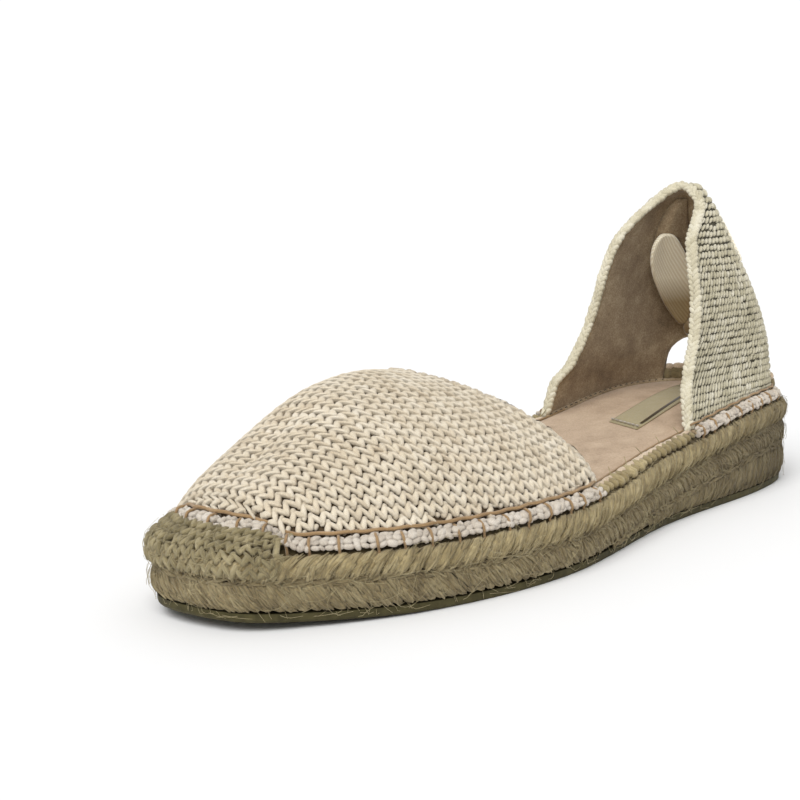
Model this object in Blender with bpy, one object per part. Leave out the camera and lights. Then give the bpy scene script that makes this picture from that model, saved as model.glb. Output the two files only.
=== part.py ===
"""Left lace-up espadrille: jute rope sole, knitted vamp and a canvas heel band.

Metres, +Z up. X runs from the heel (-) to the toe (+), Y to the wearer's left,
which is the outer side of this left shoe. The origin is on the floor, at the
middle of the shoe's length and width.
"""
import bisect
import math

import bmesh
import bpy

# Driving sizes of the sole
LENGTH = 0.250
BALL_WIDTH = 0.087
HEEL_WIDTH = 0.0646
TOE_SPRING = 0.0031
SPRING_START = 0.72          # share of LENGTH where the sole leaves the floor
RUBBER_THICKNESS = 0.0022
RUBBER_INSET = 0.0015
LOWER_BRAID_THICKNESS = 0.0073
UPPER_BRAID_THICKNESS = 0.0094
WEDGE_THICKNESS = 0.0109
WEDGE_END = 0.53             # share of LENGTH where the wedge runs out
HEEL_LIP_RISE = 0.0052       # braid lip behind the heel, above the insole
HEEL_LIP_LENGTH = 0.0145
INSOLE_THICKNESS = 0.0022
INSOLE_INSET = 0.0068
RIM_INSET = 0.0065           # inner edge of the braid's top rim
RIM_DROP = 0.0013            # rim below the top of the insole
TOE_BRAID_SHARE = 0.93       # thickness of the upper braid at the toe
GAP = 0.0003                 # between pieces that touch

# Driving sizes of the vamp
VAMP_WALL = 0.0019
VAMP_CREST_LENGTH = 0.0880   # from the tip of the toe back to the top of the throat
VAMP_SIDE_LENGTH = 0.1110    # and to the ends of the throat
CREST_SETBACK = 0.0285       # front end of the crest, behind the tip of the toe
CREST_HEIGHT = 0.0335        # highest point of the crest above the insole
CREST_OFFSET = -0.0158       # the instep ridge leans to the inner side
CREST_OFFSET_TOE = -0.0060
THROAT_CREST_X = LENGTH - VAMP_CREST_LENGTH
THROAT_SIDE_X = LENGTH - VAMP_SIDE_LENGTH
CREST_REACH = VAMP_CREST_LENGTH - CREST_SETBACK
SECTION_ROUNDING_LEFT = (1.55, 1.80)    # at the throat and at the toe: 2 is an ellipse
SECTION_ROUNDING_RIGHT = (1.56, 1.50)

# Driving sizes of the crocheted toe patch
PATCH_DEPTH = 0.0080         # how far it pushes the vamp back from the toe
PATCH_LIFT = 0.0028
PATCH_THICKNESS = 0.0022
PATCH_LENGTH = 0.0110        # from the tip of the toe back to its ends
PATCH_SIDE_X = LENGTH - PATCH_LENGTH
PATCH_RUN_IN = 0.0075        # the vamp's edge starts to leave the outline this far behind
PATCH_TIP = 0.0035           # and runs straight across the toe from here
PATCH_STEP = 0.0035          # length of the step in the braid beside the patch
PATCH_STEP_CLEARANCE = 0.0020

# Driving sizes of the heel band
BAND_RISE = 0.0701           # top of the band above the heel's insole
BAND_REACH = 0.0800          # front of its legs from the back of the heel
OUTER_SETBACK = 0.0028       # front edge of the outer side lies this much farther back
BAND_LEG_BACK_X = 0.0175
BAND_WALL = 0.0026
WINDOW_RISE = 0.0150         # top of the window above the heel's insole
SLIT_LOW_RISE = 0.0426
SLIT_HIGH_RISE = 0.0606
RIBBON_WIDTH = 0.0160
RIBBON_THICKNESS = 0.0009
RIBBON_STAND_OFF = 0.0011    # ribbon's middle off the band's outer face
RIBBON_END = 0.0013          # how far its ends reach in from the band's inner face
LOOP_STAND_OFF = 0.0026      # loop's middle off the band's inner face

SIDE_POINTS = 44             # points along one side of the sole
VAMP_COLUMNS = 34
VAMP_ROWS = 10
VAMP_RELAXING = 8            # passes that round off the vamp's surface
PATCH_COLUMNS = 12

# Sole outline from above: share of LENGTH, the width each row follows, and the
# outer (left) and inner (right) reach as shares of that width.
OUTLINE_ROWS = [
    ("along", "width", "left", "right"),
    (0.000, HEEL_WIDTH, 0.000, 0.000),
    (0.015, HEEL_WIDTH, 0.210, 0.210),
    (0.060, HEEL_WIDTH, 0.410, 0.410),
    (0.150, HEEL_WIDTH, 0.500, 0.500),
    (0.380, BALL_WIDTH, 0.401, 0.370),
    (0.640, BALL_WIDTH, 0.531, 0.468),
    (0.820, BALL_WIDTH, 0.449, 0.449),
    (0.930, BALL_WIDTH, 0.294, 0.329),
    (0.985, BALL_WIDTH, 0.162, 0.204),
    (1.000, BALL_WIDTH, -0.094, 0.094),
]

# Wedge thickness along the sole: share of LENGTH, share of WEDGE_THICKNESS.
WEDGE_ROWS = [
    ("along", "thickness"),
    (0.00, 1.00), (0.12, 1.00), (0.35, 0.45), (0.50, 0.12), (0.60, 0.00), (1.00, 0.00),
]

# Crest of the vamp: share from the throat to its front end, share of CREST_HEIGHT.
CREST_ROWS = [
    ("along", "height"),
    (0.00, 0.93), (0.28, 1.00), (0.52, 0.950), (0.76, 0.67), (1.00, 0.38),
]

# Side walls of the sole's braids: inset from the outline as a share of RIM_INSET, and
# height as a share of the braid's thickness.
UPPER_BRAID_SIDE = [
    ("inset", "height"),
    (0.154, 0.00), (0.031, 0.22), (0.000, 0.48), (0.092, 0.60),
]
LOWER_BRAID_SIDE = [
    ("inset", "height"),
    (0.215, 0.00), (0.108, 0.25), (0.092, 0.60), (0.215, 1.00),
]
# Top of the upper braid: inset as a share of RIM_INSET, and depth below the top of the
# insole as a share of RIM_DROP.
UPPER_BRAID_TOP = [
    ("inset", "depth"),
    (0.277, 2.46), (0.523, 1.46), (1.000, 1.00),
]
# Rolled hem that the vamp and the band stand on: outer and inner face, each as an inset
# from the outline, a share of RIM_INSET, and a height above the top of the insole, a
# share of RIM_DROP.
HEM_ROWS = [
    ("outer_inset", "outer_height", "inner_inset", "inner_height"),
    (0.308, -1.462, 0.369, -1.808),
    (0.262, -0.769, 0.523, -1.154),
    (0.338, -0.077, 0.677, -1.000),
    (0.508, 0.269, 0.862, -0.846),
    (0.692, 0.115, 0.985, -0.731),
    (0.708, 0.923, 0.985, -0.385),
]

# Crocheted toe patch, outer and inner face: inset from the outline as a share of
# PATCH_THICKNESS, share of the vamp's pull and lift that the row follows, and height above
# the top of the insole as a share of UPPER_BRAID_THICKNESS.
PATCH_ROWS = [
    ("outer_inset", "outer_follow", "outer_height", "inner_inset", "inner_follow", "inner_height"),
    (0.136, 0.00, -0.830, 1.182, 0.00, -0.830),
    (0.000, 0.00, -0.681, 1.000, 0.00, -0.681),
    (0.000, 0.00, -0.468, 1.000, 0.00, -0.468),
    (0.182, 0.00, -0.277, 1.273, 0.00, -0.330),
    (0.682, 0.00, -0.138, 1.955, 0.00, -0.293),
    (0.818, 0.35, -0.106, 1.818, 0.35, -0.223),
    (0.727, 0.70, -0.096, 1.364, 0.70, -0.218),
    (0.591, 1.00, -0.117, 0.591, 1.00, -0.255),
]

# Heel band, one row per level: share of BAND_RISE, back and front of the level as
# shares of BAND_REACH, and half widths at its side and front as shares of HEEL_WIDTH.
BAND_ROWS = [
    ("rise", "back", "side", "front", "front_half"),
    (0.080, 0.045, 0.384, 0.940, 0.380),
    (0.208, 0.055, 0.360, 0.868, 0.348),
    (0.351, 0.090, 0.334, 0.800, 0.322),
    (0.494, 0.152, 0.307, 0.765, 0.295),
    (0.636, 0.226, 0.270, 0.740, 0.258),
    (0.750, 0.287, 0.228, 0.700, 0.220),
    (0.850, 0.337, 0.189, 0.610, 0.183),
    (0.920, 0.372, 0.146, 0.540, 0.140),
    (0.971, 0.400, 0.092, 0.500, 0.088),
    (0.992, 0.415, 0.048, 0.485, 0.046),
    (1.000, 0.425, 0.000, 0.480, 0.000),
]

# Ribbon's loop on the inner side, from its top fold to its tip: share of BAND_RISE, and
# its front and back edge as shares of the way from the band's front edge to the back.
LOOP_ROWS = [
    ("rise", "front", "back"),
    (0.755, 0.600, 0.690),
    (0.740, 0.535, 0.760),
    (0.700, 0.475, 0.800),
    (0.640, 0.465, 0.840),
    (0.560, 0.500, 0.850),
    (0.480, 0.565, 0.845),
    (0.400, 0.625, 0.825),
    (0.340, 0.685, 0.800),
    (0.290, 0.735, 0.775),
]

# Where the band's columns lie, as shares of the way from its front edge to the back.
LEG_COLUMNS = [0.0, 0.03, 0.13, 0.24, 0.35, 0.46, 0.57, 0.650, 0.705]
BACK_COLUMNS = [0.76, 0.82, 0.88, 0.94, 1.0]
# Levels of the band's wall as shares of BAND_RISE, and those that bound its openings.
LOW_LEVELS = [0.045, 0.110]
WINDOW_CORNER_LEVEL = 0.165
HIGH_LEVELS = [0.290, 0.390, 0.500]
TOP_LEVELS = [0.910, 0.950, 0.980, 1.000]


def table(rows):
    """The rows of a table without its row of column names."""
    return rows[1:]


def smooth(rows, along):
    """Height at a place on a smooth curve through (place, height) rows, with no overshoot."""
    places = [row[0] for row in rows]
    heights = [row[1] for row in rows]
    steps = [b - a for a, b in zip(places, places[1:])]
    slopes = [(b - a) / step for a, b, step in zip(heights, heights[1:], steps)]
    tangents = [slopes[0]]
    for left, right in zip(slopes, slopes[1:]):
        tangents.append(2 * left * right / (left + right) if left * right > 0 else 0.0)
    tangents.append(slopes[-1])
    along = min(max(along, places[0]), places[-1])
    i = min(max(bisect.bisect_right(places, along) - 1, 0), len(steps) - 1)
    t = (along - places[i]) / steps[i]
    return ((2 * t ** 3 - 3 * t ** 2 + 1) * heights[i]
            + (t ** 3 - 2 * t ** 2 + t) * steps[i] * tangents[i]
            + (3 * t ** 2 - 2 * t ** 3) * heights[i + 1]
            + (t ** 3 - t ** 2) * steps[i] * tangents[i + 1])


def ease(value, start, end):
    """0 before start, 1 after end, and smooth between them."""
    share = min(max((value - start) / (end - start), 0.0), 1.0)
    return share * share * (3.0 - 2.0 * share)


def mix(a, b, share):
    """The point or number at a share of the way from a to b."""
    if isinstance(a, tuple):
        return tuple(p + (q - p) * share for p, q in zip(a, b))
    return a + (b - a) * share


def closed_curve(points, per_span=24):
    """A smooth closed curve through the points, with the same tangents either side."""
    count = len(points)
    curve = []
    for i in range(count):
        before, start, end, after = (points[(i + k) % count] for k in (-1, 0, 1, 2))
        spans = [math.sqrt(math.dist(a, b)) for a, b in ((before, start), (start, end), (end, after))]
        leave = []
        arrive = []
        for k in (0, 1):
            chord = end[k] - start[k]
            leave.append(chord + spans[1] * ((start[k] - before[k]) / spans[0]
                                             - (end[k] - before[k]) / (spans[0] + spans[1])))
            arrive.append(chord + spans[1] * ((after[k] - end[k]) / spans[2]
                                              - (after[k] - start[k]) / (spans[1] + spans[2])))
        for step in range(per_span):
            t = step / per_span
            curve.append(tuple(
                (2 * t ** 3 - 3 * t ** 2 + 1) * start[k] + (t ** 3 - 2 * t ** 2 + t) * leave[k]
                + (3 * t ** 2 - 2 * t ** 3) * end[k] + (t ** 3 - t ** 2) * arrive[k]
                for k in (0, 1)))
    return curve


def make_outline():
    """Sole outline from above: the left side from heel to toe, then the right side back."""
    rows = table(OUTLINE_ROWS)
    left = [(along * LENGTH, width * reach) for along, width, reach, _ in rows]
    right = [(along * LENGTH, -width * reach) for along, width, _, reach in rows[-2:0:-1]]
    return closed_curve(left + right)


OUTLINE = make_outline()
MIDDLE_Y = (max(y for _, y in OUTLINE) + min(y for _, y in OUTLINE)) / 2


def inset_outline(inset, toe_step=0.0):
    """The sole outline moved inwards, and by toe_step more where the toe patch lies."""
    count = len(OUTLINE)
    moved = []
    for i, (x, y) in enumerate(OUTLINE):
        ahead = OUTLINE[(i + 1) % count]
        behind = OUTLINE[i - 1]
        run = (ahead[0] - behind[0], ahead[1] - behind[1])
        length = math.hypot(*run)
        step_end = PATCH_SIDE_X - PATCH_STEP_CLEARANCE
        step = inset + toe_step * ease(x, step_end - PATCH_STEP, step_end)
        moved.append((x + step * run[1] / length, y - step * run[0] / length))
    return moved


def along_line(line, shares):
    """Points at shares of a line's length."""
    reached = [0.0]
    for a, b in zip(line, line[1:]):
        reached.append(reached[-1] + math.dist(a, b))
    points = []
    for share in shares:
        goal = share * reached[-1]
        i = min(max(bisect.bisect_right(reached, goal) - 1, 0), len(line) - 2)
        step = reached[i + 1] - reached[i]
        points.append(mix(line[i], line[i + 1], (goal - reached[i]) / step if step > 0 else 0.0))
    return points


def cut_line(line, low_x, high_x):
    """The stretch of a line between two places along X, with its ends on them."""
    kept = []
    for a, b in zip(line, line[1:]):
        for limit in (low_x, high_x):
            if (a[0] - limit) * (b[0] - limit) < 0:
                crossing = mix(a, b, (limit - a[0]) / (b[0] - a[0]))
                kept.append(crossing)
        if low_x <= b[0] <= high_x:
            kept.append(b)
    if low_x <= line[0][0] <= high_x:
        kept.insert(0, line[0])
    return kept


def sides(inset, toe_step=0.0):
    """The left and the right side of an inset outline, each from heel to toe."""
    line = inset_outline(inset, toe_step)
    heel = min(range(len(line)), key=lambda i: line[i][0])
    line = line[heel:] + line[:heel + 1]
    toe = max(range(len(line)), key=lambda i: line[i][0])
    return line[:toe + 1], line[:toe - 1:-1]


def even(count):
    """Shares from 0 to 1 in even steps."""
    return [i / (count - 1) for i in range(count)]


def closer_at_ends(count):
    """Shares from 0 to 1 that lie closer together at the heel and the toe."""
    return [0.35 * share + 0.65 * (1.0 - math.cos(math.pi * share)) / 2 for share in even(count)]


def patch_share(x):
    """0 along the sides of the shoe and 1 at the toe, where the patch lies."""
    return ease(x, PATCH_SIDE_X - PATCH_RUN_IN, LENGTH - PATCH_TIP)


def level_point(x, y, follow, height):
    """A point of a level, which follows the vamp's edge back and up from the toe patch."""
    share = follow * patch_share(x)
    return (x - PATCH_DEPTH * share, y, foot_height(x) + height + PATCH_LIFT * share)


def ring(inset, height, end=1.0, toe_step=0.0, follow=0.0):
    """One closed level of the sole: left side to the toe or to end, right side back."""
    left, right = sides(inset, toe_step)
    if end < 1.0:
        left = cut_line(left, -1.0, end * LENGTH)
        right = cut_line(right, -1.0, end * LENGTH)
    left = along_line(left, closer_at_ends(SIDE_POINTS))
    right = along_line(right, closer_at_ends(SIDE_POINTS))
    flat = left + (right[-2:0:-1] if end == 1.0 else right[:0:-1])
    level = []
    for x, y in flat:
        share = follow * patch_share(x)
        level.append((x - PATCH_DEPTH * share, y, height(x) + PATCH_LIFT * share))
    return level


def floor_height(x):
    """Underside of the sole: flat on the floor, then the toe spring."""
    return TOE_SPRING * max(0.0, (x / LENGTH - SPRING_START) / (1.0 - SPRING_START)) ** 2


def rubber_top(x):
    return floor_height(x) + RUBBER_THICKNESS


def wedge_share(x):
    return smooth(table(WEDGE_ROWS), x / LENGTH)


def lower_bottom(x):
    """Underside of the lower braid, over the wedge."""
    return rubber_top(x) + GAP + WEDGE_THICKNESS * wedge_share(x)


def braid_split(x):
    """Top of the lower braid."""
    return lower_bottom(x) + LOWER_BRAID_THICKNESS


def braid_thickness(x):
    return UPPER_BRAID_THICKNESS * mix(1.0, TOE_BRAID_SHARE, ease(x / LENGTH, 0.6, 1.0))


def foot_height(x):
    """Top of the insole."""
    return braid_split(x) + GAP + braid_thickness(x)


def lip_height(x):
    return HEEL_LIP_RISE * (1.0 - ease(x, 0.35 * HEEL_LIP_LENGTH, HEEL_LIP_LENGTH))


def shifted(point):
    """From the heel's own frame to the shoe's frame."""
    return (point[0] - LENGTH / 2, point[1] - MIDDLE_Y, point[2])


def material(name, colour, roughness):
    made = bpy.data.materials.new(name)
    made.use_nodes = True
    shader = made.node_tree.nodes["Principled BSDF"]
    shader.inputs["Base Color"].default_value = (*colour, 1.0)
    shader.inputs["Roughness"].default_value = roughness
    shader.inputs["Metallic"].default_value = 0.0
    return made


def add_object(name, points, faces, finish, collection):
    """A named solid from points in the heel's frame, with equal points merged."""
    mesh = bpy.data.meshes.new(name)
    mesh.from_pydata([shifted(point) for point in points], [], faces)
    shape = bmesh.new()
    shape.from_mesh(mesh)
    bmesh.ops.remove_doubles(shape, verts=shape.verts, dist=0.000001)
    bmesh.ops.dissolve_degenerate(shape, dist=0.000001, edges=shape.edges)
    bmesh.ops.recalc_face_normals(shape, faces=shape.faces)
    bmesh.ops.triangulate(shape, faces=shape.faces)
    shape.to_mesh(mesh)
    shape.free()
    mesh.materials.append(finish)
    mesh.shade_smooth()
    mesh.set_sharp_from_angle(angle=math.radians(40))
    made = bpy.data.objects.new(name, mesh)
    collection.objects.link(made)
    return made


def cap_strips(start, count):
    """Strips across a closed level, from its left side to its right side."""
    strips = [(start, start + 1, start + count - 1)]
    i = 1
    while i + 1 < count - i - 1:
        strips.append((start + i, start + i + 1, start + count - i - 1, start + count - i))
        i += 1
    if i + 1 == count - i - 1:
        strips.append((start + i, start + i + 1, start + count - i))
    return strips


def loft_rings(rings):
    """Points and faces of a solid from closed levels, with strips across both ends."""
    count = len(rings[0])
    points = [point for level in rings for point in level]
    faces = cap_strips(0, count) + cap_strips((len(rings) - 1) * count, count)
    for level in range(len(rings) - 1):
        low = level * count
        for i in range(count):
            after = (i + 1) % count
            faces.append((low + i, low + after, low + count + after, low + count + i))
    return points, faces


def merged(points, faces):
    """The faces with equal points made one, and without the faces that this closes up."""
    first = {}
    same = []
    for i, point in enumerate(points):
        key = tuple(round(value, 7) for value in point)
        same.append(first.setdefault(key, i))
    kept = []
    for face in faces:
        corners = []
        for corner in (same[i] for i in face):
            if corner not in corners:
                corners.append(corner)
        if len(corners) > 2:
            kept.append(tuple(corners))
    return kept


def surface_normals(points, faces):
    """Unit normals of an open surface at its points, from the faces around each."""
    shape = bmesh.new()
    for point in points:
        shape.verts.new(point)
    shape.verts.ensure_lookup_table()
    for face in faces:
        shape.faces.new([shape.verts[i] for i in face])
    shape.normal_update()
    normals = [tuple(vertex.normal) for vertex in shape.verts]
    shape.free()
    return normals


def relaxed(points, faces, moving, passes):
    """The points with the moving ones drawn towards the middle of their neighbours."""
    shape = bmesh.new()
    for point in points:
        shape.verts.new(point)
    shape.verts.ensure_lookup_table()
    for face in faces:
        shape.faces.new([shape.verts[i] for i in face])
    inside = [shape.verts[i] for i in moving if not shape.verts[i].is_boundary]
    for _ in range(passes):
        bmesh.ops.smooth_vert(shape, verts=inside, factor=0.5,
                              use_axis_x=True, use_axis_y=True, use_axis_z=True)
    moved = [tuple(vertex.co) for vertex in shape.verts]
    shape.free()
    return moved


def moved_along(points, normals, distance):
    return [tuple(p + distance * n for p, n in zip(point, normal))
            for point, normal in zip(points, normals)]


def wall_between(outer, inner, faces):
    """Points and faces of a closed wall between two faces with the same layout."""
    count = len(outer)
    edges = set()
    for face in faces:
        edges.update(zip(face, face[1:] + face[:1]))
    walls = list(faces)
    walls += [tuple(count + i for i in reversed(face)) for face in faces]
    for a, b in sorted(edges):
        if (b, a) not in edges:
            walls.append((b, a, count + a, count + b))
    return outer + inner, walls


def grid_faces(columns, rows, skip=()):
    """Faces of a grid of points stored column by column, without the skipped cells."""
    faces = []
    for column in range(columns - 1):
        for row in range(rows - 1):
            if (column, row) not in skip:
                low = column * rows + row
                faces.append((low, low + 1, low + rows + 1, low + rows))
    return faces


def make_outsole(finish, collection):
    rings = [
        ring(1.3 * RUBBER_INSET, floor_height),
        ring(RUBBER_INSET, lambda x: floor_height(x) + 0.3 * RUBBER_THICKNESS),
        ring(RUBBER_INSET, rubber_top),
    ]
    add_object("outsole", *loft_rings(rings), finish, collection)


def make_wedge(finish, collection):
    def height(share):
        return lambda x: mix(rubber_top(x) + GAP, lower_bottom(x) - GAP, share)
    rings = [ring(inset * WEDGE_THICKNESS, height(share), end=WEDGE_END)
             for inset, share in ((0.15, 0.0), (0.075, 0.3), (0.075, 0.7), (0.15, 1.0))]
    add_object("heel_wedge", *loft_rings(rings), finish, collection)


def make_lower_braid(finish, collection):
    rings = [ring(inset * RIM_INSET, lambda x, share=share: mix(lower_bottom(x), braid_split(x), share))
             for inset, share in table(LOWER_BRAID_SIDE)]
    add_object("sole_lower_braid", *loft_rings(rings), finish, collection)


def make_upper_braid(finish, collection):
    toe_step = PATCH_THICKNESS + GAP
    rings = []
    for inset, share in table(UPPER_BRAID_SIDE):
        rings.append(ring(inset * RIM_INSET,
                          lambda x, share=share: braid_split(x) + GAP + share * braid_thickness(x),
                          toe_step=toe_step))
    for i, (inset, depth) in enumerate(table(UPPER_BRAID_TOP)):
        follow = 0.0 if i == 0 else 1.0
        step = toe_step if i == 0 else 0.0
        rings.append(ring(inset * RIM_INSET,
                          lambda x, depth=depth: foot_height(x) - depth * RIM_DROP + lip_height(x),
                          toe_step=step, follow=follow))
    seat_depth = INSOLE_THICKNESS + GAP
    rings.append(ring(1.015 * RIM_INSET, lambda x: foot_height(x) - seat_depth - PATCH_LIFT * patch_share(x),
                      follow=1.0))
    add_object("sole_upper_braid", *loft_rings(rings), finish, collection)


def make_insole(finish, collection):
    def height(share):
        return lambda x: foot_height(x) - INSOLE_THICKNESS * (1.0 - share) - PATCH_LIFT * patch_share(x)
    rings = [ring(INSOLE_INSET + inset * INSOLE_THICKNESS, height(share), follow=1.0)
             for inset, share in ((0.18, 0.0), (0.0, 0.25), (0.0, 0.75), (0.22, 1.0))]
    add_object("insole", *loft_rings(rings), finish, collection)


def hem_rows():
    """Insets and heights of the rolled hem's outer and inner face, in metres."""
    return [(outer * RIM_INSET, outer_height * RIM_DROP, inner * RIM_INSET, inner_height * RIM_DROP)
            for outer, outer_height, inner, inner_height in table(HEM_ROWS)]


def hem_line(inset, left_side, height, count):
    """The vamp's edge from its throat to the tip of the toe, at one level of its hem."""
    line = sides(inset)[0 if left_side else 1]
    flat = along_line(cut_line(line, THROAT_SIDE_X, LENGTH), even(count))
    return [level_point(x, y, 1.0, height) for x, y in flat]


def crest_point(share):
    """A point of the vamp's crest, from the throat at 0 to the toe at 1."""
    x = THROAT_CREST_X + CREST_REACH * share
    rise = CREST_HEIGHT * smooth(table(CREST_ROWS), share)
    return (x, mix(CREST_OFFSET, CREST_OFFSET_TOE, share), foot_height(x) + rise)


def make_vamp(finish, collection):
    """Columns run from the left end of the throat round the toe to the right end."""
    outer = []
    inner_edge = {}
    rows = len(hem_rows()) + VAMP_ROWS
    for left_side in (True, False):
        rounding = SECTION_ROUNDING_LEFT if left_side else SECTION_ROUNDING_RIGHT
        outer_lines = [hem_line(row[0], left_side, row[1], VAMP_COLUMNS) for row in hem_rows()]
        inner_lines = [hem_line(row[2], left_side, row[3], VAMP_COLUMNS) for row in hem_rows()]
        columns = range(VAMP_COLUMNS) if left_side else range(VAMP_COLUMNS - 2, -1, -1)
        for column in columns:
            along = column / (VAMP_COLUMNS - 1)
            power = 2.0 / mix(rounding[0], rounding[1], along)
            for row in range(len(outer_lines)):
                inner_edge[len(outer)] = inner_lines[row][column]
                outer.append(outer_lines[row][column])
            foot = outer_lines[-1][column]
            crest = crest_point(along)
            for row in range(1, VAMP_ROWS + 1):
                angle = math.pi / 2 * row / VAMP_ROWS
                inward = 1.0 - max(math.cos(angle), 0.0) ** power
                upward = math.sin(angle) ** power
                if row == VAMP_ROWS:
                    inward = 1.0
                outer.append((mix(foot[0], crest[0], inward), mix(foot[1], crest[1], inward),
                              mix(foot[2], crest[2], upward)))
    faces = merged(outer, grid_faces(2 * VAMP_COLUMNS - 1, rows))
    used = {i for face in faces for i in face}
    outer = relaxed(outer, faces, [i for i in used if i not in inner_edge], VAMP_RELAXING)
    normals = surface_normals(outer, faces)
    up = sum(normal[2] for normal in normals)
    inner = moved_along(outer, normals, -math.copysign(VAMP_WALL, up))
    for i, point in inner_edge.items():
        inner[i] = point
    add_object("vamp", *wall_between(outer, inner, faces), finish, collection)


def make_toe_patch(finish, collection):
    """Columns run from the left end of the patch round the toe to the right end."""
    outer = []
    inner = []
    for left_side in (True, False):
        side = 0 if left_side else 1
        columns = range(PATCH_COLUMNS) if left_side else range(PATCH_COLUMNS - 2, -1, -1)
        faces_of_rows = []
        for row in table(PATCH_ROWS):
            pair = []
            for inset, follow, height in (row[:3], row[3:]):
                line = cut_line(sides(inset * PATCH_THICKNESS)[side], PATCH_SIDE_X, LENGTH)
                flat = along_line(line, even(PATCH_COLUMNS))
                pair.append([level_point(x, y, follow, height * UPPER_BRAID_THICKNESS)
                             for x, y in flat])
            faces_of_rows.append(pair)
        for column in columns:
            outer += [pair[0][column] for pair in faces_of_rows]
            inner += [pair[1][column] for pair in faces_of_rows]
    faces = grid_faces(2 * PATCH_COLUMNS - 1, len(table(PATCH_ROWS)))
    add_object("toe_patch", *wall_between(outer, inner, faces), finish, collection)


def band_sizes(rise):
    """Back, side half width, front and front half width of the band at a level."""
    rows = table(BAND_ROWS)
    back, side, front, front_half = (smooth([(row[0], row[k]) for row in rows], rise)
                                     for k in (1, 2, 3, 4))
    return (back * BAND_REACH, side * HEEL_WIDTH, front * BAND_REACH, front_half * HEEL_WIDTH)


def band_level(rise, depth, shares):
    """Points of the band's left half at a level, depth inside its outer face."""
    back, side, front, front_half = band_sizes(rise)
    bend = min(side * 1.05, 0.9 * (front - back))
    back += depth * mix(1.0, 0.35, ease(rise, 0.88, 1.0))
    narrowed = max(1.0 - depth / side, 0.3) if side > 0 else 0.0
    line = [(front, front_half * narrowed)]
    for step in range(13):
        angle = math.pi / 2 * (1.0 - step / 12)
        line.append((back + bend * mix(1.0, narrowed, 0.5) * (1.0 - math.cos(angle)),
                     side * narrowed * math.sin(angle)))
    height = foot_height(0.0) + BAND_RISE * rise - depth * ease(rise, 0.86, 1.0)
    return [(x, y, height) for x, y in along_line(line, shares)]


def set_back(line, shares, rise):
    """The outer side's level, with its front part drawn back up to near the top."""
    back = OUTER_SETBACK * (1.0 - ease(rise, 0.90, 1.0))
    return [(x - back * (1.0 - ease(share, 0.0, 0.5)), y, z) for share, (x, y, z) in zip(shares, line)]


def band_foot(inset, height, shares, side):
    """Points along the foot of a band leg, from its front edge to its back edge."""
    reach = BAND_REACH - (OUTER_SETBACK if side == 0 else 0.0)
    line = cut_line(sides(inset)[side], BAND_LEG_BACK_X, reach)[::-1]
    return [(x, y, foot_height(x) + height) for x, y in along_line(line, shares)]


def make_band(finish, collection):
    """Columns run from the left front edge round the heel to the right front edge."""
    leg_shares = [share / LEG_COLUMNS[-1] for share in LEG_COLUMNS]
    all_shares = LEG_COLUMNS + BACK_COLUMNS
    window = WINDOW_RISE / BAND_RISE
    slit_low = SLIT_LOW_RISE / BAND_RISE
    slit_high = SLIT_HIGH_RISE / BAND_RISE
    slit_levels = [mix(slit_low, slit_high, share) for share in (0.0, 1 / 3, 2 / 3, 1.0)]
    low_levels = LOW_LEVELS + [WINDOW_CORNER_LEVEL]
    levels = low_levels + [window] + HIGH_LEVELS + slit_levels + TOP_LEVELS
    hem = hem_rows()
    rows = len(hem) + len(levels)
    outer = []
    inner = []
    for side in (0, 1):
        faces_of_rows = []
        for outer_inset, outer_height, inner_inset, inner_height in hem:
            faces_of_rows.append((band_foot(outer_inset, outer_height, leg_shares, side),
                                  band_foot(inner_inset, inner_height, leg_shares, side)))
        feet = faces_of_rows[-1]
        for level in levels:
            pair = []
            for depth, foot in zip((0.0, BAND_WALL), feet):
                line = band_level(level, depth, all_shares)
                if side == 1:
                    line = [(x, -y, z) for x, y, z in line]
                else:
                    line = set_back(line, all_shares, level)
                settled = ease(level, -0.03, WINDOW_CORNER_LEVEL)
                for i, point in enumerate(foot):
                    x, y, _ = mix(point, line[i], settled)
                    line[i] = (x, y, line[i][2])
                pair.append(line)
            faces_of_rows.append(tuple(pair))
        count = len(all_shares)
        columns = range(count) if side == 0 else range(count - 2, -1, -1)
        for column in columns:
            for pair in faces_of_rows:
                for points, line in zip((outer, inner), pair):
                    points.append(line[min(column, len(line) - 1)])
    columns = 2 * len(all_shares) - 1
    last = columns - 2
    legs = len(LEG_COLUMNS) - 1
    window_row = rows - len(levels) + levels.index(window)
    skip = set()
    for column in range(legs, columns - 1 - legs):
        skip.update((column, row) for row in range(window_row))
    slit_row = len(hem) + levels.index(slit_levels[0])
    for column in (legs - 1, last - legs + 1):
        skip.update((column, row) for row in range(slit_row, slit_row + 3))
    faces = grid_faces(columns, rows, skip)
    corner = window_row - 1
    faces.append((legs * rows + corner, legs * rows + window_row, (legs + 1) * rows + window_row))
    far = columns - 1 - legs
    faces.append((far * rows + corner, (far - 1) * rows + window_row, far * rows + window_row))
    faces = merged(outer, faces)
    add_object("heel_band", *used_only(*wall_between(outer, inner, faces)), finish, collection)


def used_only(points, faces):
    """The points that faces use, and the faces on them."""
    used = sorted({i for face in faces for i in face})
    place = {old: new for new, old in enumerate(used)}
    return [points[i] for i in used], [tuple(place[i] for i in face) for face in faces]


def ribbon_sheet(name, columns, thickness, finish, collection):
    """A flat ribbon between lines of points that run across its width."""
    rows = len(columns[0])
    middle = [point for line in columns for point in line]
    faces = grid_faces(len(columns), rows)
    normals = surface_normals(middle, faces)
    outer = moved_along(middle, normals, thickness / 2)
    inner = moved_along(middle, normals, -thickness / 2)
    add_object(name, *wall_between(outer, inner, faces), finish, collection)


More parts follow.
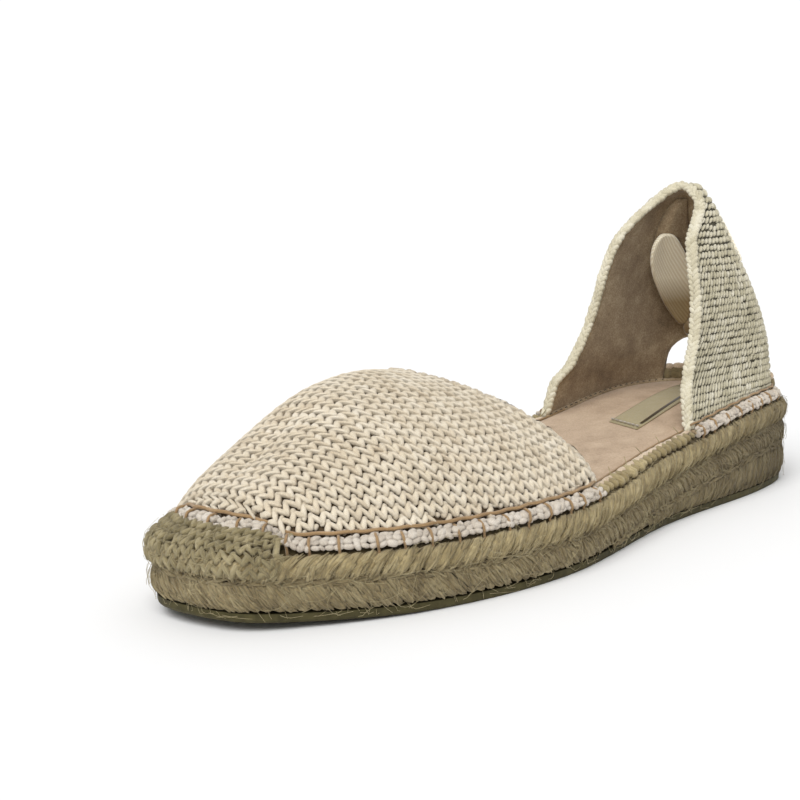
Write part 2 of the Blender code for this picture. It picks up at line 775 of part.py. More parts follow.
def make_ribbon(finish, collection):
    """The ribbon comes out of one slit, crosses the back of the band and goes in again."""
    slit = (LEG_COLUMNS[-2] + LEG_COLUMNS[-1]) / 2
    margin = (SLIT_HIGH_RISE - SLIT_LOW_RISE - RIBBON_WIDTH) / 2
    levels = [mix(SLIT_LOW_RISE + margin, SLIT_HIGH_RISE - margin, share) / BAND_RISE
              for share in even(5)]
    route = [(slit, BAND_WALL + RIBBON_END), (slit, BAND_WALL + GAP), (slit, BAND_WALL / 2),
             (slit, 0.0), (slit + 0.012, -0.7 * RIBBON_STAND_OFF), (slit + 0.04, -RIBBON_STAND_OFF)]
    route += [(share, -RIBBON_STAND_OFF) for share in BACK_COLUMNS if share > slit + 0.05]
    half = []
    for share, depth in route:
        half.append([band_level(level, depth, [share])[0] for level in levels])
    columns = half + [[(x, -y, z) for x, y, z in line] for line in half[-2::-1]]
    ribbon_sheet("ribbon_crossing", columns, RIBBON_THICKNESS, finish, collection)


def make_ribbon_loop(finish, collection):
    """A loop of ribbon, folded flat, hangs from the slit on the inner side of the band."""
    columns = []
    for rise, front, back in table(LOOP_ROWS):
        shares = [mix(front, back, share) for share in even(6)]
        line = band_level(rise, BAND_WALL + LOOP_STAND_OFF, shares)
        columns.append([(x, -y, z) for x, y, z in line])
    ribbon_sheet("ribbon_loop", columns, 2 * RIBBON_THICKNESS, finish, collection)


def main():
    for old in list(bpy.data.objects):
        bpy.data.objects.remove(old)
    collection = bpy.data.collections.new("espadrille")
    bpy.context.scene.collection.children.link(collection)
    jute = material("jute", (0.27, 0.21, 0.12), 0.9)
    rubber = material("rubber", (0.05, 0.045, 0.02), 0.7)
    suede = material("insole_suede", (0.53, 0.40, 0.29), 0.9)
    knit = material("cotton_knit", (0.75, 0.66, 0.50), 0.9)
    canvas = material("canvas", (0.62, 0.58, 0.46), 0.9)
    ribbon = material("ribbon", (0.80, 0.76, 0.64), 0.6)
    make_outsole(rubber, collection)
    make_wedge(jute, collection)
    make_lower_braid(jute, collection)
    make_upper_braid(jute, collection)
    make_insole(suede, collection)
    make_vamp(knit, collection)
    make_toe_patch(jute, collection)
    make_band(canvas, collection)
    make_ribbon(ribbon, collection)
    make_ribbon_loop(ribbon, collection)


main()
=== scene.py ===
"""Looks of the left lace-up espadrille: knit, jute, canvas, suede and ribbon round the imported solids.

Lengths are in metres. Lines that follow the sole are worked out in the heel's frame, as in the
part, with X from the back of the heel, and shifted() brings them to the part's own frame.
"""
import bisect
import math

import bmesh
import bpy
import numpy as np
from mathutils import Matrix, Vector
from mathutils.bvhtree import BVHTree


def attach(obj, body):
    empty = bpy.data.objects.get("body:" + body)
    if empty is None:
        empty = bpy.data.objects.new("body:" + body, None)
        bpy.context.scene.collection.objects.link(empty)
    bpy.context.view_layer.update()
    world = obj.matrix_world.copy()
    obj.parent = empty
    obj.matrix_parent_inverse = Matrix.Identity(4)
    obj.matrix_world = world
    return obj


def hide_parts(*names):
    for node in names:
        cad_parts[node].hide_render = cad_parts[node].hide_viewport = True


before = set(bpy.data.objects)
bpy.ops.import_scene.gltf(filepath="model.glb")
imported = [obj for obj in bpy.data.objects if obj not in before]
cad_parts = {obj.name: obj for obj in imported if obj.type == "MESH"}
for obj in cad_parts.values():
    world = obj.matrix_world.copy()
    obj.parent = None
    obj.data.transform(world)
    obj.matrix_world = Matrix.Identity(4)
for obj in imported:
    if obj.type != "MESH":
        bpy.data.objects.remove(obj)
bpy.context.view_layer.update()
rng = np.random.default_rng(7)

# Driving sizes, as in the part
LENGTH = 0.250
BALL_WIDTH = 0.087
HEEL_WIDTH = 0.0646
TOE_SPRING = 0.0031
SPRING_START = 0.72
RUBBER_THICKNESS = 0.0022
LOWER_BRAID_THICKNESS = 0.0073
UPPER_BRAID_THICKNESS = 0.0094
WEDGE_THICKNESS = 0.0109
WEDGE_END = 0.53
INSOLE_INSET = 0.0068
RIM_INSET = 0.0065
RIM_DROP = 0.0013
TOE_BRAID_SHARE = 0.93
GAP = 0.0003
THROAT_CREST_X = 0.1620
THROAT_SIDE_X = 0.1390
CREST_HEIGHT = 0.0335
CREST_OFFSET = -0.0158
SECTION_ROUNDING = (1.55, 1.56)
PATCH_DEPTH = 0.0080
PATCH_LIFT = 0.0028
PATCH_THICKNESS = 0.0022
PATCH_SIDE_X = 0.2390
PATCH_RUN_IN = 0.0075
PATCH_TIP = 0.0035
BAND_RISE = 0.0701
BAND_REACH = 0.0800
OUTER_SETBACK = 0.0028
BAND_LEG_BACK_X = 0.0175
BAND_WALL = 0.0026
SLIT_LOW_RISE = 0.0426
SLIT_HIGH_RISE = 0.0606
SLIT_SHARE = 0.6775
WINDOW_RISE = 0.0150

# Sizes of the stitches, strands and cords, set against the photo
KNIT_COLUMN = 0.0034         # width of one knit stitch along the shoe
KNIT_ROW = 0.0031            # coarser than the real rows, about 0.0024, so that the stitches show
STRAND_PITCH = 0.0037        # one strand of the jute braid to the next
BUNDLE_PITCH = 0.0009        # fine fibre bundles that lie on the strands
BLANKET_PITCH = 0.0074
HEM_LUMP = 0.0020
THREAD_RADIUS = 0.00038
PEBBLE_PITCH = 0.0023        # canvas floats near the top of the heel band
STROKE_PITCH = 0.0017        # and the narrower ones lower down
WEAVE_ROW = 0.0021
SELVEDGE_PITCH = 0.0024
FLOOR_CLEARANCE = 0.0004     # no strand or fibre comes lower
HEEL_RIM_INSET = 0.0050      # rolled rim that shows through the band's window
HEEL_RIM_RISE = 0.0044
SEAM_HALF = 0.0012           # half the height of the fibres that bridge two braids
PATCH_STITCH = 0.0028        # crochet stitches over the tip of the toe
LABEL_CORNERS = [(0.0784, -0.0010), (0.0825, 0.0128), (0.0294, 0.0045), (0.0253, -0.0093)]
LABEL_LINE = [(0.0772, 0.0106), (0.0433, 0.0040)]

OUTLINE_ROWS = [
    (0.000, HEEL_WIDTH, 0.000, 0.000),
    (0.015, HEEL_WIDTH, 0.210, 0.210),
    (0.060, HEEL_WIDTH, 0.410, 0.410),
    (0.150, HEEL_WIDTH, 0.500, 0.500),
    (0.380, BALL_WIDTH, 0.401, 0.370),
    (0.640, BALL_WIDTH, 0.531, 0.468),
    (0.820, BALL_WIDTH, 0.449, 0.449),
    (0.930, BALL_WIDTH, 0.294, 0.329),
    (0.985, BALL_WIDTH, 0.162, 0.204),
    (1.000, BALL_WIDTH, -0.094, 0.094),
]
WEDGE_ROWS = [(0.00, 1.00), (0.12, 1.00), (0.35, 0.45), (0.50, 0.12), (0.60, 0.00), (1.00, 0.00)]
HEM_ROWS = [(0.308, -1.462), (0.262, -0.769), (0.338, -0.077), (0.508, 0.269), (0.692, 0.115)]
BAND_ROWS = [
    (0.080, 0.045, 0.384, 0.940, 0.380),
    (0.208, 0.055, 0.360, 0.868, 0.348),
    (0.351, 0.090, 0.334, 0.800, 0.322),
    (0.494, 0.152, 0.307, 0.765, 0.295),
    (0.636, 0.226, 0.270, 0.740, 0.258),
    (0.750, 0.287, 0.228, 0.700, 0.220),
    (0.850, 0.337, 0.189, 0.610, 0.183),
    (0.920, 0.372, 0.146, 0.540, 0.140),
    (0.971, 0.400, 0.092, 0.500, 0.088),
    (0.992, 0.415, 0.048, 0.485, 0.046),
    (1.000, 0.425, 0.000, 0.480, 0.000),
]


# Lines of the shoe

def smooth(rows, along):
    """Height at a place on a smooth curve through (place, height) rows, with no overshoot."""
    places = [row[0] for row in rows]
    heights = [row[1] for row in rows]
    steps = [b - a for a, b in zip(places, places[1:])]
    slopes = [(b - a) / step for a, b, step in zip(heights, heights[1:], steps)]
    tangents = [slopes[0]]
    for left, right in zip(slopes, slopes[1:]):
        tangents.append(2 * left * right / (left + right) if left * right > 0 else 0.0)
    tangents.append(slopes[-1])
    along = min(max(along, places[0]), places[-1])
    i = min(max(bisect.bisect_right(places, along) - 1, 0), len(steps) - 1)
    t = (along - places[i]) / steps[i]
    return ((2 * t ** 3 - 3 * t ** 2 + 1) * heights[i]
            + (t ** 3 - 2 * t ** 2 + t) * steps[i] * tangents[i]
            + (3 * t ** 2 - 2 * t ** 3) * heights[i + 1]
            + (t ** 3 - t ** 2) * steps[i] * tangents[i + 1])


def ease(value, start, end):
    """0 before start, 1 after end, and smooth between them."""
    share = min(max((value - start) / (end - start), 0.0), 1.0)
    return share * share * (3.0 - 2.0 * share)


def mix(a, b, share):
    return a + (b - a) * share


def closed_curve(points, per_span=24):
    """A smooth closed curve through the points, with the same tangents either side."""
    count = len(points)
    curve = []
    for i in range(count):
        before, start, end, after = (np.array(points[(i + k) % count]) for k in (-1, 0, 1, 2))
        spans = [math.sqrt(math.dist(a, b)) for a, b in ((before, start), (start, end), (end, after))]
        chord = end - start
        leave = chord + spans[1] * ((start - before) / spans[0] - (end - before) / (spans[0] + spans[1]))
        arrive = chord + spans[1] * ((after - end) / spans[2] - (after - start) / (spans[1] + spans[2]))
        for t in np.arange(per_span) / per_span:
            curve.append((2 * t ** 3 - 3 * t ** 2 + 1) * start + (t ** 3 - 2 * t ** 2 + t) * leave
                         + (3 * t ** 2 - 2 * t ** 3) * end + (t ** 3 - t ** 2) * arrive)
    return np.array(curve)


def sole_outline():
    left = [(along * LENGTH, width * reach) for along, width, reach, _ in OUTLINE_ROWS]
    right = [(along * LENGTH, -width * reach) for along, width, _, reach in OUTLINE_ROWS[-2:0:-1]]
    return closed_curve(left + right)


OUTLINE = sole_outline()
MIDDLE_Y = (OUTLINE[:, 1].max() + OUTLINE[:, 1].min()) / 2


def shifted(points):
    """From the heel's own frame to the part's frame."""
    return np.asarray(points, float) - (LENGTH / 2, MIDDLE_Y, 0.0)


def inset_outline(inset):
    run = np.roll(OUTLINE, -1, axis=0) - np.roll(OUTLINE, 1, axis=0)
    run /= np.linalg.norm(run, axis=1)[:, None]
    return OUTLINE + inset * np.stack([run[:, 1], -run[:, 0]], axis=1)


def resampled(line, count):
    """A line's points again, evenly spaced."""
    line = np.asarray(line, float)
    reached = np.concatenate([[0.0], np.cumsum(np.linalg.norm(np.diff(line, axis=0), axis=1))])
    goal = np.linspace(0.0, reached[-1], count)
    return np.stack([np.interp(goal, reached, line[:, k]) for k in range(line.shape[1])], axis=1)


def round_the_toe(inset, start_x, count=240):
    """The inset outline from the left side at start_x round the toe to the right side."""
    line = inset_outline(inset)
    heel = line[:, 0].argmin()
    line = np.roll(line, -heel, axis=0)
    return resampled(line[line[:, 0] >= start_x], count)


def round_the_sole(inset, count=420):
    """The whole inset outline, from the back of the heel over the left side and the toe."""
    line = inset_outline(inset)
    line = np.roll(line, -line[:, 0].argmin(), axis=0)
    return resampled(np.vstack([line, line[:1]]), count)


def patch_share(x):
    return ease(x, PATCH_SIDE_X - PATCH_RUN_IN, LENGTH - PATCH_TIP)


def rubber_top(x):
    risen = max(0.0, (x / LENGTH - SPRING_START) / (1.0 - SPRING_START))
    return TOE_SPRING * risen ** 2 + RUBBER_THICKNESS


def wedge_top(x):
    return rubber_top(x) + GAP + WEDGE_THICKNESS * smooth(WEDGE_ROWS, x / LENGTH)


def braid_split(x):
    return wedge_top(x) + LOWER_BRAID_THICKNESS


def foot_height(x):
    """Top of the insole."""
    share = mix(1.0, TOE_BRAID_SHARE, ease(x / LENGTH, 0.6, 1.0))
    return braid_split(x) + GAP + UPPER_BRAID_THICKNESS * share


def band_level(rise, depth, shares, side=1):
    """Points of one half of the heel band at a level, depth inside its outer face."""
    back, half, front, front_half = (smooth([(row[0], row[k]) for row in BAND_ROWS], rise)
                                     for k in (1, 2, 3, 4))
    back, half, front, front_half = (back * BAND_REACH, half * HEEL_WIDTH, front * BAND_REACH,
                                     front_half * HEEL_WIDTH)
    bend = min(half * 1.05, 0.9 * (front - back))
    back += depth * mix(1.0, 0.35, ease(rise, 0.88, 1.0))
    narrowed = max(1.0 - depth / half, 0.3) if half > 0 else 0.0
    line = [(front, front_half * narrowed)]
    for angle in np.pi / 2 * (1.0 - np.arange(13) / 12):
        line.append((back + bend * mix(1.0, narrowed, 0.5) * (1.0 - math.cos(angle)),
                     half * narrowed * math.sin(angle)))
    line = np.array(line)
    reached = np.concatenate([[0.0], np.cumsum(np.linalg.norm(np.diff(line, axis=0), axis=1))])
    goal = np.asarray(shares) * reached[-1]
    height = foot_height(0.0) + BAND_RISE * rise - depth * ease(rise, 0.86, 1.0)
    x = np.interp(goal, reached, line[:, 0])
    if side > 0:
        drawn = OUTER_SETBACK * (1.0 - ease(rise, 0.90, 1.0))
        x -= drawn * np.array([1.0 - ease(share, 0.0, 0.5) for share in shares])
    return np.stack([x, side * np.interp(goal, reached, line[:, 1]), np.full(len(goal), height)], axis=1)


def band_foot(inset, height, shares, side):
    line = inset_outline(inset)
    line = line[(line[:, 1] > 0) if side > 0 else (line[:, 1] < 0)]
    reach = BAND_REACH - (OUTER_SETBACK if side > 0 else 0.0)
    line = line[np.argsort(line[:, 0])]
    x = np.linspace(reach, BAND_LEG_BACK_X, 60)
    line = resampled(np.column_stack([x, np.interp(x, line[:, 0], line[:, 1])]), 60)
    goal = np.clip(np.asarray(shares), 0, 1) * 59
    flat = np.stack([np.interp(goal, np.arange(60), line[:, k]) for k in (0, 1)], axis=1)
    return np.column_stack([flat, [foot_height(x) + height for x in flat[:, 0]]])


# Surfaces that small pieces lie on

class Patch:
    """A surface as a grid of points, with places on it measured as shares of its two sides."""

    def __init__(self, points, flip=False, closed=False):
        self.points = np.asarray(points, float)
        du = np.gradient(self.points, axis=0)
        if closed:
            du[0] = du[-1] = (self.points[1] - self.points[-2]) / 2
        dv = np.gradient(self.points, axis=1)
        normal = np.cross(du, dv)
        normal /= np.maximum(np.linalg.norm(normal, axis=2), 1e-12)[..., None]
        self.normals = -normal if flip else normal
        self.long = np.linalg.norm(np.diff(self.points, axis=0), axis=2).sum(0).mean()
        self.wide = np.linalg.norm(np.diff(self.points, axis=1), axis=2).sum(1).mean()

    def at(self, u, v, lift):
        """Points at shares u and v, lifted off the surface."""
        rows, columns = self.points.shape[:2]
        i = np.clip(u, 0, 1) * (rows - 1)
        j = np.clip(v, 0, 1) * (columns - 1)
        i0 = np.minimum(i.astype(int), rows - 2)
        j0 = np.minimum(j.astype(int), columns - 2)
        s = (i - i0)[..., None]
        t = (j - j0)[..., None]

        def between(grid):
            return ((grid[i0, j0] * (1 - s) + grid[i0 + 1, j0] * s) * (1 - t)
                    + (grid[i0, j0 + 1] * (1 - s) + grid[i0 + 1, j0 + 1] * s) * t)
        return between(self.points) + between(self.normals) * np.asarray(lift)[..., None]


def bead(sides=8, rings=6, blunt=1.0, bow=0.0):
    """A small closed bead along X, one unit long, wide and high, as points and faces."""
    shape = bmesh.new()
    bmesh.ops.create_uvsphere(shape, u_segments=sides, v_segments=rings, radius=0.5)
    bmesh.ops.rotate(shape, verts=shape.verts, matrix=Matrix.Rotation(math.pi / 2, 3, "Y"))
    points = np.array([vertex.co for vertex in shape.verts])
    faces = [tuple(vertex.index for vertex in face.verts) for face in shape.faces]
    shape.free()
    points[:, 0] = 0.5 * np.sign(points[:, 0]) * np.abs(2 * points[:, 0]) ** blunt
    points[:, 1] += bow * (0.25 - points[:, 0] ** 2) * 4
    return points, faces


def lay(patch, template, places):
    """Copies of a template on a patch: each place is u, v, turn, length, width, height, lift.

    u, v and the sizes are in metres along the patch, and turn is in radians."""
    points, _ = template
    laid = []
    for u, v, turn, long, wide, high, lift in places:
        a = points[:, 0] * long
        b = points[:, 1] * wide
        across = (u + a * math.cos(turn) - b * math.sin(turn)) / patch.long
        up = (v + a * math.sin(turn) + b * math.cos(turn)) / patch.wide
        laid.append(patch.at(across, up, points[:, 2] * high + lift))
    return laid


def joined(copies, template):
    """One mesh from many copies of a template, with a shade for each copy and a UV along it."""
    points, faces = template
    count = len(points)
    mesh = bpy.data.meshes.new("copies")
    everything = np.concatenate(copies)
    everything[:, 2] = np.maximum(everything[:, 2], FLOOR_CLEARANCE)
    corners = np.concatenate([np.array(face) for face in faces])
    starts = np.cumsum([0] + [len(face) for face in faces[:-1]])
    totals = np.array([len(face) for face in faces])
    copies_count = len(copies)
    mesh.vertices.add(len(everything))
    mesh.vertices.foreach_set("co", shifted(everything).astype(np.float32).ravel())
    loops = (corners[None, :] + (np.arange(copies_count) * count)[:, None]).ravel()
    mesh.loops.add(len(loops))
    mesh.loops.foreach_set("vertex_index", loops.astype(np.int32))
    mesh.polygons.add(len(faces) * copies_count)
    loop_start = (starts[None, :] + (np.arange(copies_count) * len(corners))[:, None]).ravel()
    mesh.polygons.foreach_set("loop_start", loop_start.astype(np.int32))
    mesh.polygons.foreach_set("loop_total", np.tile(totals, copies_count).astype(np.int32))
    mesh.update(calc_edges=True)
    shade = mesh.attributes.new("shade", "FLOAT", "POINT")
    shade.data.foreach_set("value", np.repeat(rng.random(copies_count), count).astype(np.float32))
    angle = np.arctan2(points[:, 2], points[:, 1]) / (2 * np.pi)
    uv = np.tile(np.stack([points[:, 0] + 0.5, angle], axis=1), (copies_count, 1))
    uv += np.repeat(rng.random((copies_count, 2)) * 7, count, axis=0)
    layer = mesh.uv_layers.new(name="UVMap")
    layer.data.foreach_set("uv", uv[loops].astype(np.float32).ravel())
    mesh.validate()
    return mesh


def cords(paths, radius, sides=2):
    """Round cords along paths, as one mesh with closed ends."""
    curve = bpy.data.curves.new("cords", "CURVE")
    curve.dimensions = "3D"
    curve.bevel_depth = radius
    curve.bevel_resolution = sides
    curve.use_fill_caps = True
    for path in paths:
        spline = curve.splines.new("POLY")
        spline.points.add(len(path) - 1)
        for point, (x, y, z) in zip(spline.points, shifted(path)):
            point.co = (x, y, max(z, FLOOR_CLEARANCE), 1.0)
    holder = bpy.data.objects.new("cords", curve)
    mesh = bpy.data.meshes.new_from_object(holder)
    bpy.data.objects.remove(holder)
    mesh.materials.clear()
    return mesh


def node_copy(name, sink=0.0, join=True):
    """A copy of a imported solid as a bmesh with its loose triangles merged, sunk along its normals."""
    shape = bmesh.new()
    shape.from_mesh(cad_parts[name].data)
    bmesh.ops.remove_doubles(shape, verts=shape.verts, dist=0.000002)
    shape.normal_update()
    if join:
        bmesh.ops.join_triangles(shape, faces=shape.faces, cmp_seam=False, cmp_sharp=False, cmp_uvs=False,
                                 cmp_vcols=False, cmp_materials=False,
                                 angle_face_threshold=math.radians(25),
                                 angle_shape_threshold=math.radians(60))
    if sink:
        normals = [vertex.normal.copy() for vertex in shape.verts]
        for vertex, normal in zip(shape.verts, normals):
            vertex.co -= normal * sink
    return shape


def piece(name, mesh, finishes, replaces=(), levels=0, smooth_faces=True):
    """A finished piece on the shoe's one body."""
    mesh.name = name
    mesh.materials.clear()
    for finish in finishes if isinstance(finishes, (list, tuple)) else [finishes]:
        mesh.materials.append(finish)
    made = bpy.data.objects.new(name, mesh)
    bpy.context.scene.collection.objects.link(made)
    if smooth_faces:
        mesh.shade_smooth()
    if levels:
        rounding = made.modifiers.new("rounding", "SUBSURF")
        rounding.levels = levels
        rounding.render_levels = levels
    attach(made, "root")
    if replaces:
        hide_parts(*replaces)
    return made


# Materials

def linear(hex_colour):
    """An sRGB hex colour as linear RGBA."""
    parts = [int(hex_colour[i:i + 2], 16) / 255 for i in (1, 3, 5)]
    return (*[c / 12.92 if c <= 0.04045 else ((c + 0.055) / 1.055) ** 2.4 for c in parts], 1.0)


def add_node(tree, kind, links=None, **settings):
    """A node with its settings, and with the named inputs linked or set."""
    node = tree.nodes.new(kind)
    for key, value in settings.items():
        setattr(node, key, value)
    for key, value in (links or {}).items():
        socket = node.inputs[key]
        if isinstance(value, bpy.types.NodeSocket):
            tree.links.new(value, socket)
        else:
            socket.default_value = value
    return node


def new_finish(name, roughness, sheen=0.0):
    made = bpy.data.materials.new(name)
    made.use_nodes = True
    shader = made.node_tree.nodes["Principled BSDF"]
    shader.inputs["Roughness"].default_value = roughness
    shader.inputs["Sheen Weight"].default_value = sheen
    shader.inputs["Sheen Roughness"].default_value = 0.5
    shader.inputs["Specular IOR Level"].default_value = 0.25
    return made, made.node_tree, shader


def ramp(tree, value, stops):
    """A colour ramp over a value, from (place, hex colour) stops."""
    node = add_node(tree, "ShaderNodeValToRGB", {"Fac": value})
    elements = node.color_ramp.elements
    while len(elements) < len(stops):
        elements.new(0.5)
    for element, (place, colour) in zip(elements, stops):
        element.position = place
        element.color = linear(colour)
    return node.outputs["Color"]


def noise(tree, vector, per_metre, detail=3.0, stretch=(1, 1, 1), roughness=0.6):
    scale = tuple(share * per_metre for share in stretch)
    mapped = add_node(tree, "ShaderNodeMapping", {"Vector": vector, "Scale": scale})
    return add_node(tree, "ShaderNodeTexNoise", {"Vector": mapped.outputs["Vector"], "Scale": 1.0,
                                                 "Detail": detail, "Roughness": roughness}).outputs["Fac"]


def bump(tree, shader, height, distance, strength=1.0):
    node = add_node(tree, "ShaderNodeBump", {"Height": height, "Distance": distance, "Strength": strength})
    tree.links.new(node.outputs["Normal"], shader.inputs["Normal"])
    return node


def mixed(tree, share, a, b, blend="MIX"):
    node = add_node(tree, "ShaderNodeMix", data_type="RGBA", blend_type=blend)
    for key, value in (("Factor", share), ("A", a), ("B", b)):
        socket = next(s for s in node.inputs if s.name == key and s.enabled)
        if isinstance(value, bpy.types.NodeSocket):
            tree.links.new(value, socket)
        else:
            socket.default_value = value
    return next(s for s in node.outputs if s.enabled)


def spun_cotton(name, dark, middle, light, twist=34.0, roughness=0.85):
    """Spun cotton cord: matt, with the fine slanting ply lines of its twist and small tone changes."""
    made, tree, shader = new_finish(name, roughness, sheen=0.25)
    uv = add_node(tree, "ShaderNodeUVMap", uv_map="UVMap").outputs["UV"]
    place = add_node(tree, "ShaderNodeTexCoord").outputs["Object"]
    shade = add_node(tree, "ShaderNodeAttribute", attribute_name="shade").outputs["Fac"]
    turned = add_node(tree, "ShaderNodeMapping", {"Vector": uv, "Rotation": (0, 0, math.radians(35)),
                                                  "Scale": (0.5, 1.0, 1.0)}).outputs["Vector"]
    plies = add_node(tree, "ShaderNodeTexWave", {"Vector": turned, "Scale": twist / 6, "Distortion": 2.0,
                                                 "Detail": 2.0, "Detail Scale": 2.0}).outputs["Fac"]
    fuzz = noise(tree, place, 2500.0)       # fibres, drawn coarser at about 0.4 mm so that they show
    blotch = noise(tree, place, 120.0)      # dye and soil over about 8 mm
    weighed = add_node(tree, "ShaderNodeMath", {0: shade, 1: 0.35, 2: fuzz}, operation="MULTIPLY_ADD")
    tone = add_node(tree, "ShaderNodeMath", {0: weighed.outputs["Value"], 1: blotch}, operation="ADD")
    scaled = add_node(tree, "ShaderNodeMath", {0: tone.outputs["Value"], 1: 0.48}, operation="MULTIPLY")
    scaled = scaled.outputs["Value"]
    colour = ramp(tree, scaled, [(0.25, dark), (0.55, middle), (0.85, light)])
    tree.links.new(mixed(tree, plies, mixed(tree, 0.22, colour, linear(dark), "MIX"), colour),
                   shader.inputs["Base Color"])
    height = add_node(tree, "ShaderNodeMath", {0: plies, 1: fuzz}, operation="ADD").outputs["Value"]
    bump(tree, shader, height, 0.00012, 0.8)
    return made


def jute(name, dark, middle, light, along_uv=True):
    """Jute strand: coarse dull bast fibre, with long pale and dark streaks along the strand."""
    made, tree, shader = new_finish(name, 0.85, sheen=0.15)
    place = add_node(tree, "ShaderNodeTexCoord").outputs["Object"]
    if along_uv:
        uv = add_node(tree, "ShaderNodeUVMap", uv_map="UVMap").outputs["UV"]
        streak_map = add_node(tree, "ShaderNodeMapping", {"Vector": uv, "Scale": (2.2, 34.0, 1.0)})
        streaks = add_node(tree, "ShaderNodeTexNoise",
                           {"Vector": streak_map.outputs["Vector"], "Scale": 1.0,
                            "Detail": 4.0, "Roughness": 0.65}).outputs["Fac"]
    else:
        streaks = noise(tree, place, 1500.0, 4.0, (0.25, 0.25, 1.0))
    shade = add_node(tree, "ShaderNodeAttribute", attribute_name="shade").outputs["Fac"]
    blotch = noise(tree, place, 160.0)
    fuzz = noise(tree, place, 3000.0)
    small = add_node(tree, "ShaderNodeMath", {0: shade, 1: 0.25}, operation="MULTIPLY").outputs["Value"]
    tone = add_node(tree, "ShaderNodeMath", {0: streaks, 1: small}, operation="ADD").outputs["Value"]
    tone = add_node(tree, "ShaderNodeMath", {0: tone, 1: blotch}, operation="ADD").outputs["Value"]
    scaled = add_node(tree, "ShaderNodeMath", {0: tone, 1: 0.5}, operation="MULTIPLY").outputs["Value"]
    colour = ramp(tree, scaled, [(0.36, dark), (0.56, middle), (0.78, light)])
    # Painted shade: every jute colour darkens towards the back of the heel, where less light falls.
    along = add_node(tree, "ShaderNodeSeparateXYZ", {"Vector": place}).outputs["X"]
    heel_shade = add_node(tree, "ShaderNodeMapRange", {"Value": along, "From Min": -0.115, "From Max": -0.01,
                                                 "To Min": 0.55, "To Max": 0.0})   # darker at the heel
    heel_shaded = mixed(tree, heel_shade.outputs["Result"], colour, linear("#4A3E28"))
    tree.links.new(heel_shaded, shader.inputs["Base Color"])
    height = add_node(tree, "ShaderNodeMath", {0: streaks, 1: fuzz}, operation="ADD").outputs["Value"]
    bump(tree, shader, height, 0.00035, 1.0)
    return made


def brushed_suede(name, dark, middle, light):
    """Microsuede: short brushed nap, soft light at grazing angles and cloudy tone where it was stroked."""
    made, tree, shader = new_finish(name, 0.95, sheen=0.25)
    place = add_node(tree, "ShaderNodeTexCoord").outputs["Object"]
    cloud = noise(tree, place, 90.0, 4.0, (1, 1, 1), 0.7)
    nap = noise(tree, place, 1800.0, 4.0, (1, 1, 1), 0.75)
    tone = add_node(tree, "ShaderNodeMath", {0: cloud, 1: nap}, operation="ADD").outputs["Value"]
    scaled = add_node(tree, "ShaderNodeMath", {0: tone, 1: 0.5}, operation="MULTIPLY").outputs["Value"]
    colour = ramp(tree, scaled, [(0.36, dark), (0.5, middle), (0.64, light)])
    tree.links.new(colour, shader.inputs["Base Color"])
    bump(tree, shader, nap, 0.00025, 0.7)
    return made


def matt_rubber():
    """Moulded natural rubber: dull dark olive, a little dusty, with a fine pebbled tread."""
    made, tree, shader = new_finish("moulded_olive_rubber", 0.65)
    place = add_node(tree, "ShaderNodeTexCoord").outputs["Object"]
    dust = noise(tree, place, 300.0, 4.0)
    tree.links.new(ramp(tree, dust, [(0.35, "#3B361D"), (0.65, "#504A2C")]), shader.inputs["Base Color"])
    tread_map = add_node(tree, "ShaderNodeMapping", {"Vector": place, "Scale": (400.0, 400.0, 60.0)})
    tread = add_node(tree, "ShaderNodeTexVoronoi", {"Vector": tread_map.outputs["Vector"], "Scale": 1.0})
    bump(tree, shader, tread.outputs["Distance"], 0.0004, 0.6)
    return made


def ribbed_ribbon(name, shaded_colour, face):
    """Grosgrain cotton ribbon: a soft sheen, fine ribs, and painted shade, darker between the ribs and over
    the lower part.

    The ribs are about 1.2 mm apart, coarser than real ones, so that they show.
    """
    made, tree, shader = new_finish(name, 0.38, sheen=0.5)
    uv = add_node(tree, "ShaderNodeUVMap", uv_map="UVMap").outputs["UV"]
    place = add_node(tree, "ShaderNodeTexCoord").outputs["Object"]
    ribs = add_node(tree, "ShaderNodeTexWave",
                    {"Vector": uv, "Scale": 1.0, "Distortion": 0.6, "Detail": 1.0})
    up = add_node(tree, "ShaderNodeSeparateXYZ", {"Vector": place}).outputs["Z"]
    shade_by_height = add_node(tree, "ShaderNodeMapRange", {"Value": up, "From Min": 0.0590, "From Max": 0.0680})
    # Painted shade: the colour darkens in the valleys between the ribs, and the lower part takes the shaded
    # colour while face is the lit colour above.
    shade = ramp(tree, ribs.outputs["Fac"], [(0.0, "#EAE4D8"), (1.0, "#FFFFFF")])
    cloth = ramp(tree, shade_by_height.outputs["Result"], [(0.0, shaded_colour), (1.0, face)])
    tree.links.new(mixed(tree, 1.0, cloth, shade, "MULTIPLY"), shader.inputs["Base Color"])
    bump(tree, shader, ribs.outputs["Fac"], 0.00010, 0.8)
    return made


COTTON = spun_cotton("spun_cotton_knit", "#B3A084", "#DDD0B8", "#F1E9D9")
# Backing painted dark as the shade in the pinholes between the knitted stitches and in the fold at the
# vamp's foot.
KNIT_PAINTED_SHADE = brushed_suede("knit_backing_painted_shade", "#3A2D1E", "#4E3F2C", "#63523B")
HEM_COTTON = spun_cotton("rolled_hem_cotton", "#9A8D80", "#CFC4B4", "#E8E1D6")
THREAD = spun_cotton("waxed_brown_thread", "#8A6D48", "#A98A62", "#C4A67C", roughness=0.6)
JUTE_STRAND = jute("jute_strand", "#7A6A48", "#A8976E", "#D0C096")
